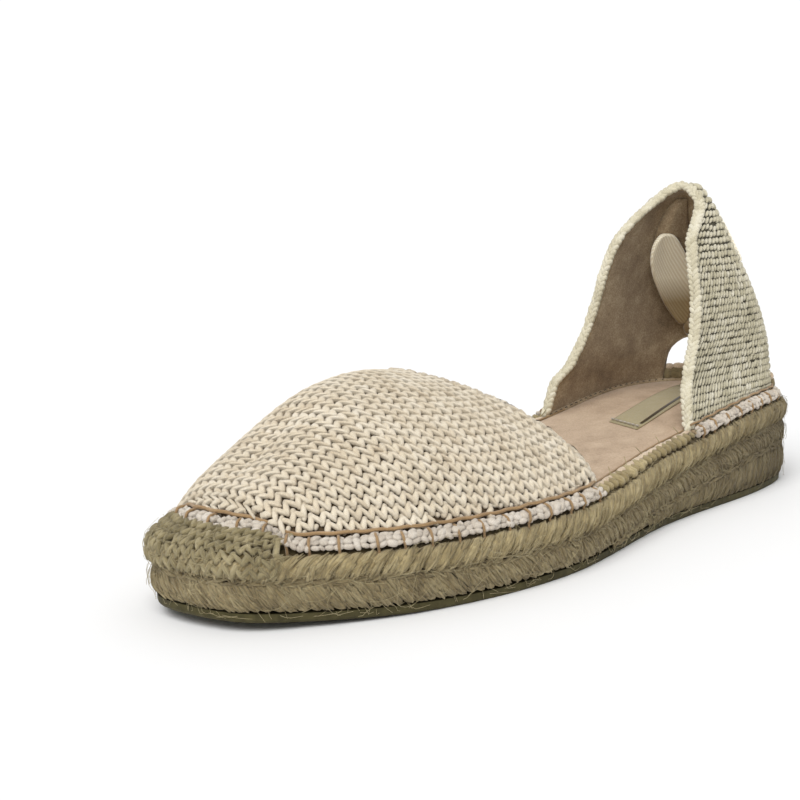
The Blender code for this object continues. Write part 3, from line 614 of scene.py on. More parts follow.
# Darker copies of the strand jute, as painted shade: the lower braid and the heel wedge get less light.
JUTE_LOWER = jute("jute_strand_shaded_lower", "#6C5D3F", "#94845F", "#BCAD85")
JUTE_WEDGE = jute("jute_strand_shaded_heel", "#5E5137", "#837553", "#AC9D77")
# Cores painted dark as the shade in the gaps between the strands and stitches.
JUTE_CORE = jute("jute_core_painted_shade", "#4F432C", "#746542", "#96865F", along_uv=False)
JUTE_CROCHET = jute("jute_crochet_yarn", "#6A6042", "#968965", "#C2B48E")
FIBRE = jute("loose_jute_fibre", "#8F8260", "#B3A680", "#D6CBA8", along_uv=False)
CANVAS = spun_cotton("canvas_yarn", "#8C856A", "#CCC4A9", "#F8F3E4")
SELVEDGE = spun_cotton("selvedge_yarn", "#A0967A", "#D6CEB4", "#F4EFDE")
# Ground cloth under the floats: grey-olive, darkened as painted shade in the gaps between the floats.
CANVAS_GROUND = brushed_suede("canvas_ground_painted_shade", "#3E3A2D", "#565140", "#6E6852")
LINING = brushed_suede("taupe_lining_suede", "#74624A", "#9A866A", "#BFAD8E")
INSOLE = brushed_suede("pinkish_insole_suede", "#9A8267", "#B39A7F", "#C5AE92")
EDGE_FOLD = brushed_suede("insole_edge_fold", "#A58F76", "#C9B59B", "#DCCBB4")
LABEL = spun_cotton("woven_olive_label", "#A8986A", "#BBAB7E", "#CCBD92")
DARK_LINE = brushed_suede("shadow_line_thread", "#2E2517", "#3F3422", "#55472F")
RUBBER = matt_rubber()
# The loop's lit colour, and the shaded colour painted over its lower part.
RIBBON = ribbed_ribbon("ribbed_cotton_ribbon", "#A8936C", "#FFF8E2")
# The knotted end, painted dark brown as the shade on the cream ribbon.
RIBBON_SHADE = ribbed_ribbon("ribbon_knot_painted_shade", "#8A7656", "#8A7656")


# Sole

def outsole():
    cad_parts["outsole"].data.materials.clear()
    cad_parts["outsole"].data.materials.append(RUBBER)


def braid_patch(lower, upper, insets, start=0.0, end=1.0):
    """Side of a braid round the sole, between two heights, with its insets from bottom to top."""
    columns = []
    for share, inset in insets:
        flat = round_the_sole(inset * RIM_INSET)
        columns.append([(x, y, mix(lower(x), upper(x), share)) for x, y in flat])
    grid = np.array(columns).transpose(1, 0, 2)
    keep = slice(int(start * (len(grid) - 1)), int(end * (len(grid) - 1)) + 1)
    return Patch(grid[keep], flip=True)


def strands(patch, slant, pitch, height, width, thick, limit=None):
    """Slanting strands all along a braid's side, each as tall as the braid."""
    places = []
    long = height / abs(math.sin(slant)) * 1.12
    for u in np.arange(0.0, patch.long, pitch):
        scale = limit(u / patch.long) if limit else 1.0
        if scale < 0.25:
            continue
        places.append((u + rng.normal(0, 0.06) * pitch, patch.wide / 2 + rng.normal(0, 0.02) * height,
                       slant + rng.normal(0, 0.05), long * scale * (1 + rng.normal(0, 0.03)),
                       width * (1 + rng.normal(0, 0.06)), thick, -0.30 * thick))
    return places


def bundles(patch, slant, pitch, height, thick, rooms, notches=(), rows=4, limit=None):
    """Fine bundles of fibre that follow the strands, left out where a stitch pulls a notch.

    rooms are the shares of a bundle's height that it keeps inside the bottom and the top."""
    places = []
    for u in np.arange(0.0, patch.long, BUNDLE_PITCH):
        scale = limit(u / patch.long) if limit else 1.0
        if scale < 0.25:
            continue
        for row in range(rows):
            long = height * rng.uniform(0.35, 0.75) * scale
            tall = long * abs(math.sin(slant))
            v = mix(rooms[0] * tall, patch.wide - rooms[1] * tall, (row + rng.random()) / rows)
            place = u + rng.random() * BUNDLE_PITCH
            phase = ((place - (v - patch.wide / 2) / math.tan(slant)) / pitch + 0.5) % 1.0
            bulge = math.sqrt(max(1.0 - (2.0 * phase - 1.0) ** 2 * 0.95, 0.0))
            turn = slant + rng.normal(0, 0.13)
            if len(notches) and v > 0.50 * patch.wide:
                here = patch.at(np.array([place / patch.long]), np.array([v / patch.wide]), np.zeros(1))[0]
                if (np.abs(notches - here[:2]).sum(axis=1) < 0.0017).any():
                    continue
            places.append((place, v, turn, long, rng.uniform(0.0005, 0.0011), rng.uniform(0.0005, 0.0009),
                           (0.5 * bulge - 0.37) * thick + rng.uniform(-0.0001, 0.0002)))
    return places


def x_of_share(patch, share):
    return patch.at(np.array([share]), np.array([0.5]), np.array([0.0]))[0][0]


def sole_braids():
    """Three coils of braided jute: cores painted dark as the shade between the strands, and slanting
    strands on their sides.
    """
    split = lambda x: braid_split(x) + GAP
    lower = braid_patch(wedge_top, braid_split, [(0.0, 0.25), (0.3, 0.10), (0.7, 0.10), (1.0, 0.25)])
    upper = braid_patch(split, foot_height,
                        [(0.0, 0.20), (0.2, 0.03), (0.45, 0.0), (0.62, 0.09), (0.72, 0.30)])
    wedge = braid_patch(lambda x: rubber_top(x) + GAP, lambda x: wedge_top(x) - GAP,
                        [(0.0, 0.25), (0.3, 0.12), (0.7, 0.12), (1.0, 0.25)])
    template = bead(8, 8, blunt=0.5, bow=0.04)
    fine = bead(5, 4, blunt=0.8, bow=0.03)

    def thin_out(share):
        return smooth(WEDGE_ROWS, x_of_share(wedge, share) / LENGTH)
    for name, patch, slant, pitch, height, wide, thick, rooms, finish, limit in (
            ("lower_braid", lower, math.radians(50), STRAND_PITCH * 0.80, LOWER_BRAID_THICKNESS, 0.0034,
             0.0017, (0.45, 0.15), JUTE_LOWER, None),
            ("upper_braid", upper, -math.radians(54), STRAND_PITCH, UPPER_BRAID_THICKNESS * 0.80, 0.0042,
             0.0034, (0.15, 0.40), JUTE_STRAND, None),
            ("wedge", wedge, -math.radians(46), STRAND_PITCH * 0.9, WEDGE_THICKNESS, 0.0038,
             0.0016, (0.45, 0.15), JUTE_WEDGE, thin_out)):
        copies = lay(patch, template, strands(patch, slant, pitch, height, wide, thick, limit))
        piece(name + "_strands", joined(copies, template), finish)
        pulled = stitch_places(hem_patch()) if name == "upper_braid" else ()
        copies = lay(patch, fine, bundles(patch, slant, pitch, height, thick, rooms, pulled, limit=limit))
        piece(name + "_bundles", joined(copies, fine), finish)
    for name, level, reach in (("upper_seam", braid_split, 1.0), ("lower_seam", wedge_top, WEDGE_END)):
        seam = braid_patch(lambda x: level(x) - SEAM_HALF, lambda x: level(x) + SEAM_HALF,
                           [(0.0, 0.14), (0.5, 0.17), (1.0, 0.14)])
        places = []
        for u in np.arange(0.0, seam.long, BUNDLE_PITCH * 0.6):
            if x_of_share(seam, u / seam.long) > reach * LENGTH:
                continue
            places.append((u, rng.uniform(0.1, 0.9) * seam.wide, rng.normal(0.0, 0.45),
                           rng.uniform(0.003, 0.006), rng.uniform(0.0006, 0.0012), 0.0010,
                           rng.uniform(-0.0004, 0.0001)))
        piece(name + "_fibres", joined(lay(seam, fine, places), fine), JUTE_LOWER)
    for node in ("sole_lower_braid", "sole_upper_braid", "heel_wedge"):
        core = bpy.data.meshes.new(node)
        shape = node_copy(node, sink=0.0001)
        shape.to_mesh(core)
        shape.free()
        piece(node + "_core", core, JUTE_CORE, [node], levels=1)
    return lower, upper, wedge


def loose_fibres(patches, count):
    """Fine hairs that stand off the jute: short bowed cords of about 0.1 mm."""
    paths = []
    for patch in patches:
        for _ in range(count):
            u = rng.random() * patch.long
            v = rng.random() * patch.wide
            turn = rng.normal(0.5, 0.8)
            long = rng.uniform(0.003, 0.011)
            bow = rng.normal(0, 0.0012)
            stand = abs(rng.normal(0, 0.0006)) + 0.0004
            along = np.linspace(-0.5, 0.5, 6)
            across = bow * (1 - (2 * along) ** 2)
            us = u + along * long * math.cos(turn) - across * math.sin(turn)
            vs = v + along * long * math.sin(turn) + across * math.cos(turn)
            lift = stand * (0.5 + along * rng.choice([-1, 1])) + 0.0009
            paths.append(patch.at(us / patch.long, np.clip(vs / patch.wide, -0.1, 1.1), lift))
    return paths


# Hem, thread and toe patch

def level_line(inset, height, start_x, count=240):
    """A line of the vamp's edge round the toe, pulled back and lifted over the toe patch."""
    flat = round_the_toe(inset, start_x, count)
    share = np.array([patch_share(x) for x in flat[:, 0]])
    return np.stack([flat[:, 0] - PATCH_DEPTH * share, flat[:, 1],
                     [foot_height(x) + height + PATCH_LIFT * s for x, s in zip(flat[:, 0], share)]], axis=1)


def hem_patch():
    rows = [level_line(inset * RIM_INSET, height * RIM_DROP, THROAT_SIDE_X) for inset, height in HEM_ROWS]
    return Patch(np.array(rows).transpose(1, 0, 2), flip=True)


def band_hem_patch(side):
    shares = np.linspace(0, 1, 60)
    rows = [band_foot(inset * RIM_INSET, height * RIM_DROP, shares, side) for inset, height in HEM_ROWS]
    return Patch(np.array(rows).transpose(1, 0, 2), flip=side < 0)


def hem_lumps(patch):
    """The rolled hem: three uneven rows of gathered cotton lumps between the blanket stitches."""
    places = []
    for row, v in enumerate((0.22, 0.50, 0.76)):
        u = 0.0004
        while u < patch.long - 0.0004:
            size = HEM_LUMP * rng.uniform(0.75, 1.3)
            places.append((u + row * HEM_LUMP * 0.5, v * patch.wide, rng.normal(0, 0.5), size * 1.25,
                           size * 0.80, 0.0022, rng.uniform(-0.0004, 0.0004)))
            u += size * 0.95
    return places


def stitch_places(patch, first=0.5):
    """Where the blanket stitches of a hem go down into the braid, in plan."""
    along = np.arange(first, patch.long / BLANKET_PITCH, 1.0) * BLANKET_PITCH / patch.long
    return patch.at(along, np.full(len(along), 0.0), np.zeros(len(along)))[:, :2]


def blanket_stitches(patch, first=0.5):
    """Brown thread loops over the hem and down into the braid."""
    paths = []
    for k in np.arange(first, patch.long / BLANKET_PITCH, 1.0):
        u = (k + rng.normal(0, 0.04)) * BLANKET_PITCH
        v = np.linspace(0.98, -0.02, 9)
        lean = np.linspace(0, rng.uniform(-0.0012, 0.0004), 9)
        sunk = 0.0005 + 0.0008 * np.sin(np.linspace(0, 1, 9) * math.pi) * rng.uniform(0.2, 1.0)
        over = patch.at((u + lean) / patch.long, v, sunk)
        down = over[-1] + np.outer(np.linspace(0.2, 1, 5), np.array([-0.0004, 0, -0.0034]))
        paths.append(np.vstack([over, down]))
    return paths


def thread_line(patch):
    """The running brown thread in the valley between the hem and the wall."""
    count = 300
    u = np.linspace(0.001, 0.999, count)
    lift = 0.0017 + 0.0001 * np.sin(u * patch.long / BLANKET_PITCH * 2 * np.pi)
    v = 0.90 + 0.04 * np.sin(u * patch.long / BLANKET_PITCH * 2 * np.pi + 1.0)
    return patch.at(u, v, lift)


THREAD_LINE = thread_line(hem_patch())


def toe_patch():
    """Crocheted jute over the tip: a core painted dark as the shade between the stitches, and five rows of
    V stitches.
    """
    rows = [(0.136, 0.0, -0.830), (0.0, 0.0, -0.681), (0.0, 0.0, -0.468), (0.182, 0.0, -0.277),
            (0.682, 0.0, -0.138), (0.818, 0.35, -0.106), (0.727, 0.70, -0.096), (0.591, 1.0, -0.117)]
    lines = []
    for inset, follow, height in rows:
        flat = round_the_toe(inset * PATCH_THICKNESS, PATCH_SIDE_X, 90)
        share = np.array([follow * patch_share(x) for x in flat[:, 0]])
        lines.append(np.stack([flat[:, 0] - PATCH_DEPTH * share, flat[:, 1],
                               [foot_height(x) + height * UPPER_BRAID_THICKNESS + PATCH_LIFT * s
                                for x, s in zip(flat[:, 0], share)]], axis=1))
    grid = np.array(lines).transpose(1, 0, 2)
    grid = np.array([resampled(line, 12) for line in grid])
    patch = Patch(grid, flip=True)
    template = bead(8, 6, blunt=0.75)
    places = []
    rows_count = 5
    row_step = patch.wide / rows_count
    for row in range(rows_count):
        for u in np.arange(0.5, patch.long / PATCH_STITCH, 1.0) * PATCH_STITCH:
            for sign in (-1, 1):
                places.append((u + sign * 0.24 * PATCH_STITCH + rng.normal(0, 0.0002),
                               (row + 0.5) * row_step + rng.normal(0, 0.0002),
                               math.pi / 2 + sign * math.radians(-34) + rng.normal(0, 0.09),
                               row_step * rng.normal(1.35, 0.08), 0.0014, 0.0019,
                               rng.normal(0.0002, 0.0001)))
    copies = lay(patch, template, places)
    for end in (0.002, 0.998):
        path = patch.at(np.full(9, end), np.linspace(0.05, 1.0, 9), np.full(9, 0.0003)) - (0.0017, 0, 0)
        copies += along_path(path, template, 0.0017, (0.0036, 0.0019, 0.0019), turn=0.5,
                             out=(0.2, math.copysign(1.0, path[0][1]), 0.7))
    piece("toe_patch_stitches", joined(copies, template), JUTE_CROCHET)
    core = bpy.data.meshes.new("toe_patch")
    shape = node_copy("toe_patch", sink=0.0003)
    shape.to_mesh(core)
    shape.free()
    piece("toe_patch_core", core, JUTE_CORE, ["toe_patch"])
    return patch


# Knitted vamp

KNIT_MEASURE = 0.040    # girth at which the stitches along the shoe are measured


def vamp_patch():
    """The vamp's outer face as a grid along the shoe and round its section, from the outer hem.

    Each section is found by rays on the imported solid. Rows run straight along the shoe, so the hem
    cuts them where the toe curves in. The mask says where the grid lies on the vamp."""
    shape = node_copy("vamp", join=False)
    tree = BVHTree.FromBMesh(shape)
    shape.free()
    xs = np.linspace(THROAT_SIDE_X + 0.0005, 0.2375, 52)
    angles = np.radians(np.linspace(-3.0, 183.0, 120))
    hits = np.full((len(xs), len(angles), 3), np.nan)
    for i, x in enumerate(xs):
        centre = Vector((x - LENGTH / 2, 0.0, foot_height(x) - 0.001))
        for j, angle in enumerate(angles):
            out = Vector((0.0, math.cos(angle), math.sin(angle)))
            hit = tree.ray_cast(centre + out * 0.1, -out, 0.0985)[0]
            if hit:
                hits[i, j] = hit
    found = ~np.isnan(hits[:, :, 0])
    for j in range(len(angles)):
        known = np.flatnonzero(found[:, j])
        for i in range(len(xs)):
            if not found[i, j] and len(known):
                near = known[np.abs(known - i).argmin()]
                hits[i, j] = hits[near, j] + (xs[i] - xs[near], 0, 0)
    hits += (LENGTH / 2, MIDDLE_Y, 0)
    tallest = 0.150
    heights = np.linspace(0.0, tallest, 110)
    grid = np.zeros((len(xs), len(heights), 3))
    mask = np.zeros((len(xs), len(heights)))
    edge = inset_outline(0.002)
    left = edge[edge[:, 1] > 0]
    left = left[np.argsort(left[:, 0])]
    full = np.interp(0.200, left[:, 0], left[:, 1])
    for i, x in enumerate(xs):
        good = ~np.isnan(hits[i, :, 0])
        line = hits[i, good]
        reached = np.concatenate([[0.0], np.cumsum(np.linalg.norm(np.diff(line, axis=0), axis=1))])
        cut = max(0.0, full - np.interp(x, left[:, 0], left[:, 1])) if x > 0.200 else 0.0
        goal = heights - 0.85 * cut
        grid[i] = np.stack([np.interp(goal, reached, line[:, k]) for k in range(3)], axis=1)
        real = np.interp(goal, reached, found[i, good].astype(float))
        mask[i] = real * (goal >= -0.0005) * (goal <= reached[-1] + 0.0005)
    side = grid[:, int(KNIT_MEASURE / tallest * (len(heights) - 1))]
    reached = np.concatenate([[0.0], np.cumsum(np.linalg.norm(np.diff(side, axis=0), axis=1))])
    even = np.linspace(0.0, reached[-1], 60)
    grid = np.stack([[np.interp(even, reached, grid[:, j, k]) for j in range(len(heights))]
                     for k in range(3)])
    mask = np.array([np.interp(even, reached, mask[:, j]) for j in range(len(heights))]).T
    return Patch(grid.transpose(2, 1, 0)), mask, even, heights


def inside_thread(place):
    """Whether a place on the vamp is well inside the running thread of its hem."""
    away = THREAD_LINE - place
    nearest = THREAD_LINE[(away ** 2).sum(axis=1).argmin()]
    outward = nearest[:2] - (min(nearest[0], 0.19), CREST_OFFSET / 2)
    outward /= np.linalg.norm(outward)
    return (place[:2] - nearest[:2]) @ outward < -0.0006 or place[2] > nearest[2] + 0.0007


def throat_edge():
    """Cord of edge stitches along the throat, from hem to hem over the instep."""
    points = []
    crest = np.array([THROAT_CREST_X, CREST_OFFSET, foot_height(THROAT_CREST_X) + 0.93 * CREST_HEIGHT])
    for side, rounding in zip((1, -1), SECTION_ROUNDING):
        line = round_the_toe(0.0046, THROAT_SIDE_X)
        flat = line[0] if side > 0 else line[-1]
        foot = np.array([flat[0], flat[1], foot_height(flat[0]) + 0.0012])
        half = []
        for angle in np.linspace(0, math.pi / 2, 26):
            inward = 1.0 - max(math.cos(angle), 0.0) ** (2.0 / rounding)
            upward = math.sin(angle) ** (2.0 / rounding)
            half.append([mix(foot[0], crest[0], inward), mix(foot[1], crest[1], inward),
                         mix(foot[2], crest[2], upward)])
        points += half if side > 0 else half[-2::-1]
    return resampled(points, 90)


THROAT_LINE = throat_edge()


def trimmed_at_throat(copy):
    """A knitted leg cut off where it would stand out behind the edge of the throat."""
    nearest = THROAT_LINE[((THROAT_LINE - copy.mean(0))[:, 1:] ** 2).sum(axis=1).argmin()]
    copy[:, 0] = np.maximum(copy[:, 0], nearest[0] - 0.0008)
    return copy


def vamp():
    """Knitted cotton: leaning pairs of plump legs over a backing painted dark as the shade in the pinholes
    between them.
    """
    patch, mask, xs, heights = vamp_patch()
    patch.long = xs[-1]
    patch.wide = heights[-1]
    template = bead(8, 6, blunt=0.70, bow=0.08)
    places = []
    for row in np.arange(0.35, heights[-1] / KNIT_ROW, 1.0):
        for column in np.arange(-0.5, patch.long / KNIT_COLUMN + 0.5, 1.0):
            u = column * KNIT_COLUMN
            v = row * KNIT_ROW
            i = u / patch.long * (len(xs) - 1)
            j = v / patch.wide * (len(heights) - 1)
            if i < 0 or i > len(xs) - 1 or j > len(heights) - 1:
                continue
            if mask[int(round(i)), int(round(j))] < 0.5:
                continue
            wobble = rng.normal(0, 0.00012, 4)
            lean = rng.normal(0, 0.09, 2)
            long = KNIT_ROW * rng.normal(1.42, 0.05)
            places.append((u - 0.24 * KNIT_COLUMN + wobble[0], v + wobble[1], -math.radians(60) + lean[0],
                           long, 0.0018, 0.0019, 0.0))
            places.append((u + 0.25 * KNIT_COLUMN + wobble[2], v + wobble[3], math.radians(56) + lean[1],
                           KNIT_ROW * rng.normal(1.36, 0.05), 0.0015, 0.0017, -0.0003))
            places.append((u - 0.24 * KNIT_COLUMN - 0.21 * long, v + 0.40 * long, -math.radians(35),
                           0.0018, 0.0015, 0.0016, 0.0003))
    copies = [trimmed_at_throat(copy) for copy in lay(patch, template, places)
              if inside_thread(copy.mean(0))]
    ridge = CREST_OFFSET
    near = [k for k, copy in enumerate(copies) if copy[:, 1].mean() > ridge + 0.012]
    chosen = set(near)
    far = [k for k in range(len(copies)) if k not in chosen]
    piece("vamp_knit_outer_side", joined([copies[k] for k in near], template), COTTON)
    piece("vamp_knit_inner_side", joined([copies[k] for k in far], template), COTTON)
    # Cord along the vamp's foot, painted dark as the shade in the crease there.
    foot = round_the_toe(INSOLE_INSET - 0.0004, THROAT_SIDE_X)
    foot = np.column_stack([foot, [foot_height(x) - 0.0003 for x in foot[:, 0]]])
    piece("vamp_foot_fold", cords([foot], 0.0012), KNIT_PAINTED_SHADE)
    # The backing's dark colour is painted shade, seen through the pinholes.
    core = bpy.data.meshes.new("vamp")
    shape = node_copy("vamp", sink=0.0004)
    shape.to_mesh(core)
    shape.free()
    piece("vamp_backing", core, KNIT_PAINTED_SHADE, ["vamp"], levels=1)


def along_path(path, template, pitch, sizes, jitter=0.15, turn=0.0, out=None, sway=True):
    """Copies of a template along a path, each turned with it."""
    path = np.asarray(path)
    reached = np.concatenate([[0.0], np.cumsum(np.linalg.norm(np.diff(path, axis=0), axis=1))])
    copies = []
    for k, goal in enumerate(np.arange(pitch / 2, reached[-1], pitch)):
        here = np.array([np.interp(goal, reached, path[:, c]) for c in range(3)])
        ahead = np.array([np.interp(goal + 0.0008, reached, path[:, c]) for c in range(3)])
        behind = np.array([np.interp(goal - 0.0008, reached, path[:, c]) for c in range(3)])
        run = (ahead - behind) / np.linalg.norm(ahead - behind)
        side = np.cross(run, out if out is not None else (0.3, 0.2, 1.0))
        side /= np.linalg.norm(side)
        up = np.cross(side, run)
        lean = turn * (1 if k % 2 or not sway else -1)
        long = run * math.cos(lean) + side * math.sin(lean)
        wide = side * math.cos(lean) - run * math.sin(lean)
        size = np.array(sizes) * (1 + rng.normal(0, jitter * 0.5))
        points = template[0]
        copies.append(here + np.outer(points[:, 0] * size[0], long) + np.outer(points[:, 1] * size[1], wide)
                      + np.outer(points[:, 2] * size[2], up))
    return copies


# Insole

def insole():
    body = bpy.data.meshes.new("insole")
    shape = node_copy("insole")
    shape.to_mesh(body)
    shape.free()
    piece("insole_suede", body, INSOLE, ["insole"], levels=1)
    rim = round_the_sole(INSOLE_INSET + 0.0002, 360)
    rim = np.column_stack([rim, [foot_height(x) - 0.0001 - PATCH_LIFT * patch_share(x) for x in rim[:, 0]]])
    keep = rim[rim[:, 0] < 0.150]
    left = keep[(keep[:, 1] > 0) & (keep[:, 0] > 0.070)]
    right = keep[(keep[:, 1] < 0) & (keep[:, 0] > 0.070)]
    paths = [line[np.argsort(line[:, 0])] for line in (left, right)]
    piece("insole_edge_thread", cords(paths, 0.00035), THREAD)
    folds = [line + (0, 0.0016 * np.sign(line[0, 1]), -0.0002) for line in paths]
    template = bead(8, 6, blunt=0.6)
    copies = []
    for line in folds:
        copies += along_path(line, template, 0.0052, (0.0058, 0.0022, 0.0013), out=(0, 0, 1.0))
    piece("insole_edge_fold", joined(copies, template), EDGE_FOLD)
    tufts = []
    for line in folds:
        for k, point in enumerate(resampled(line, 8)):
            lean = rng.normal(0, 0.0006, 2)
            tufts.append([point + (0, 0, 0.0003), point + (lean[0], -0.0006 * np.sign(point[1]), 0.0016),
                          point + (lean[0] * 2, -0.0012 * np.sign(point[1]), 0.0028)])
    piece("insole_edge_tufts", cords(tufts, 0.00012, 1), FIBRE)
    loops = []
    for line, side in zip(folds, (1, -1)):
        base = line + (0, 0.0019 * side, -0.0006)
        loops += along_path(base, template, 0.0031, (0.0052, 0.0023, 0.0028), jitter=0.3, out=(0, 0, 1.0))
    turned = []
    for copy in loops:
        middle = copy.mean(0)
        spin = np.array(Matrix.Rotation(math.radians(62), 3, "Z"))
        turned.append((copy - middle) @ spin.T + middle)
    piece("rim_jute_loops", joined(turned, template), JUTE_STRAND)


def sheet(name, grid, thick, finish):
    """A thin sheet through a grid of points in the heel's frame."""
    rows, columns = grid.shape[:2]
    shape = bmesh.new()
    bmesh.ops.create_grid(shape, x_segments=rows - 1, y_segments=columns - 1, size=0.5)
    uv = shape.loops.layers.uv.new("UVMap")
    for face in shape.faces:
        for loop in face.loops:
            loop[uv].uv = (loop.vert.co.x * 10, loop.vert.co.y * 10)
    placed = shifted(grid)
    for vertex in shape.verts:
        row = round((vertex.co.x + 0.5) * (rows - 1))
        column = round((vertex.co.y + 0.5) * (columns - 1))
        vertex.co = placed[row, column]
    bmesh.ops.recalc_face_normals(shape, faces=shape.faces)
    bmesh.ops.solidify(shape, geom=shape.faces[:], thickness=thick)
    bmesh.ops.recalc_face_normals(shape, faces=shape.faces)
    mesh = bpy.data.meshes.new(name)
    shape.to_mesh(mesh)
    shape.free()
    return piece(name, mesh, finish)


def sheet_on_insole(name, corners, thick, finish, lift=0.0002, steps=(16, 6)):
    """A thin flat piece lying on the insole, from its four corners in plan."""
    shape = bmesh.new()
    bmesh.ops.create_grid(shape, x_segments=steps[0], y_segments=steps[1], size=0.5)
    a, b, c, d = (np.array(corner) for corner in corners)
    uv = shape.loops.layers.uv.new("UVMap")
    for face in shape.faces:
        for loop in face.loops:
            loop[uv].uv = ((loop.vert.co.x + 0.5) * 14, (loop.vert.co.y + 0.5) * 4)
    for vertex in shape.verts:
        s, t = vertex.co.x + 0.5, vertex.co.y + 0.5
        flat = (a * (1 - s) + b * s) * (1 - t) + (d * (1 - s) + c * s) * t
        place = shifted([(flat[0], flat[1], foot_height(flat[0]) + lift)])[0]
        vertex.co = place
    bmesh.ops.recalc_face_normals(shape, faces=shape.faces)
    bmesh.ops.solidify(shape, geom=shape.faces[:], thickness=thick)
    bmesh.ops.recalc_face_normals(shape, faces=shape.faces)
    mesh = bpy.data.meshes.new(name)
    shape.to_mesh(mesh)
    shape.free()
    return piece(name, mesh, finish)


def label():
    """A blank woven label with one dark line and light stitches across its end."""
    sheet_on_insole("label_cloth", LABEL_CORNERS, 0.00015, LABEL, lift=0.0003)
    start, end = (np.array(point) for point in LABEL_LINE)
    across = np.array([end[1] - start[1], start[0] - end[0]]) / np.linalg.norm(end - start) * 0.0005
    line = [start - across, start + across, end + across, end - across]
    sheet_on_insole("label_line", line, 0.0001, DARK_LINE, lift=0.0006, steps=(16, 2))
    a, b = (np.array(LABEL_CORNERS[k]) for k in (0, 1))
    inward = (np.array(LABEL_CORNERS[3]) - a) / 53.7 * 1.5
    stitches = []
    for share in np.linspace(0.06, 0.94, 7):
        middle = a + (b - a) * share + inward
        half = (b - a) * 0.045
        stitches.append([(x, y, foot_height(x) + 0.0009)
                         for x, y in (middle - half, middle, middle + half)])
    piece("label_stitches", cords(stitches, 0.0003, 1), HEM_COTTON)


# Heel band

BAND_LOW = -0.05       # level at which the band's face meets its hem


def band_face(side, depth=0.0, low=BAND_LOW, levels=64, columns=72):
    """Outer or inner face of one half of the band: u from its front edge to the back, v upwards."""
    shares = np.linspace(0, 1, columns)
    grid = np.zeros((columns, levels, 3))
    for j, rise in enumerate(np.linspace(low, 0.995, levels)):
        line = band_level(max(rise, 0.045), depth, shares, side)
        settled = ease(max(rise, 0.045), -0.03, 0.165)
        if settled < 1.0:
            leg = shares / 0.705
            foot = band_foot(0.708 * RIM_INSET + depth * 0.7, 0.0002, leg, side)
            keep = leg <= 1.0
            line[keep, :2] = foot[keep, :2] * (1 - settled) + line[keep, :2] * settled
            risen = min((rise - BAND_LOW) / (0.045 - BAND_LOW), 1.0)
            line[keep] = foot[keep] * (1 - risen) + line[keep] * risen
        grid[:, j] = line
    return Patch(grid, flip=side < 0)


def on_band(u, rise):
    """Whether a place on the band is cloth, and not window or slit."""
    window = WINDOW_RISE / BAND_RISE
    if u > 0.70 and rise < window + 0.02:
        return False
    if u > 0.66 and rise < window - 0.03:
        return False
    if abs(u - SLIT_SHARE) < 0.022 and SLIT_LOW_RISE < rise * BAND_RISE < SLIT_HIGH_RISE:
        return False
    return 0.006 < u


def band_weave(side):
    """Basket weave: rows of plump yarn floats, round near the top and narrow lower down."""
    patch = band_face(side)
    template = bead(8, 6, blunt=0.85)
    copies = []
    low, high = BAND_LOW, 0.995
    rise_long = (high - low) * BAND_RISE
    rows = int(rise_long / WEAVE_ROW)
    for row in range(rows):
        v = (row + 0.5) / rows
        rise = low + v * (high - low)
        top = ease(rise, 0.58, 0.76)
        line = patch.at(np.linspace(0, 1, 40), np.full(40, v), np.zeros(40))
        reach = np.linalg.norm(np.diff(line, axis=0), axis=1).sum()
        count = max(int(reach / mix(STROKE_PITCH, PEBBLE_PITCH, top)), 2)
        pitch = reach / count
        for k in range(count + 1):
            u = (k + (0.36 * row) % 1.0) / count
            if u > 1.0 or not on_band(u, rise):
                continue
            turn = math.pi / 2 - side * math.radians(mix(24, 38, top)) + rng.normal(0, 0.13)
            a = template[0][:, 0] * WEAVE_ROW * mix(1.22, 1.05, top) * rng.normal(1, 0.08)
            b = template[0][:, 1] * pitch * mix(0.60, 0.64, top) * rng.normal(1, 0.08)
            du = (a * math.cos(turn) - b * math.sin(turn) + rng.normal(0, 0.0001)) / reach
            dv = (a * math.sin(turn) + b * math.cos(turn) + rng.normal(0, 0.00015)) / rise_long
            thick = mix(0.0013, 0.0016, top)
            copies.append(patch.at(u + du, v + dv, template[0][:, 2] * thick + 0.00005))
    return copies, template


def band_edges(side, share_of_wall):
    """A selvedge line up one front edge of the band to its top, at a depth in its wall."""
    depth = BAND_WALL * share_of_wall
    rises = np.linspace(0.0, 1.0, 70)
    points = []
    for rise in rises:
        point = band_level(max(rise, 0.02), depth, [0.006], side)[0]
        settled = ease(rise, -0.03, 0.165)
        foot = band_foot(0.708 * RIM_INSET + depth * 0.7, 0.0, [0.0], side)[0] + (0.0003, 0, 0)
        point[:2] = foot[:2] * (1 - settled) + point[:2] * settled
        point[2] = foot_height(0.0) + BAND_RISE * rise - 0.0009 * ease(rise, 0.7, 1.0)
        point[2] = mix(foot_height(point[0]) + 0.0006, point[2], ease(rise, 0.0, 0.10))
        points.append(point)
    return np.array(points)


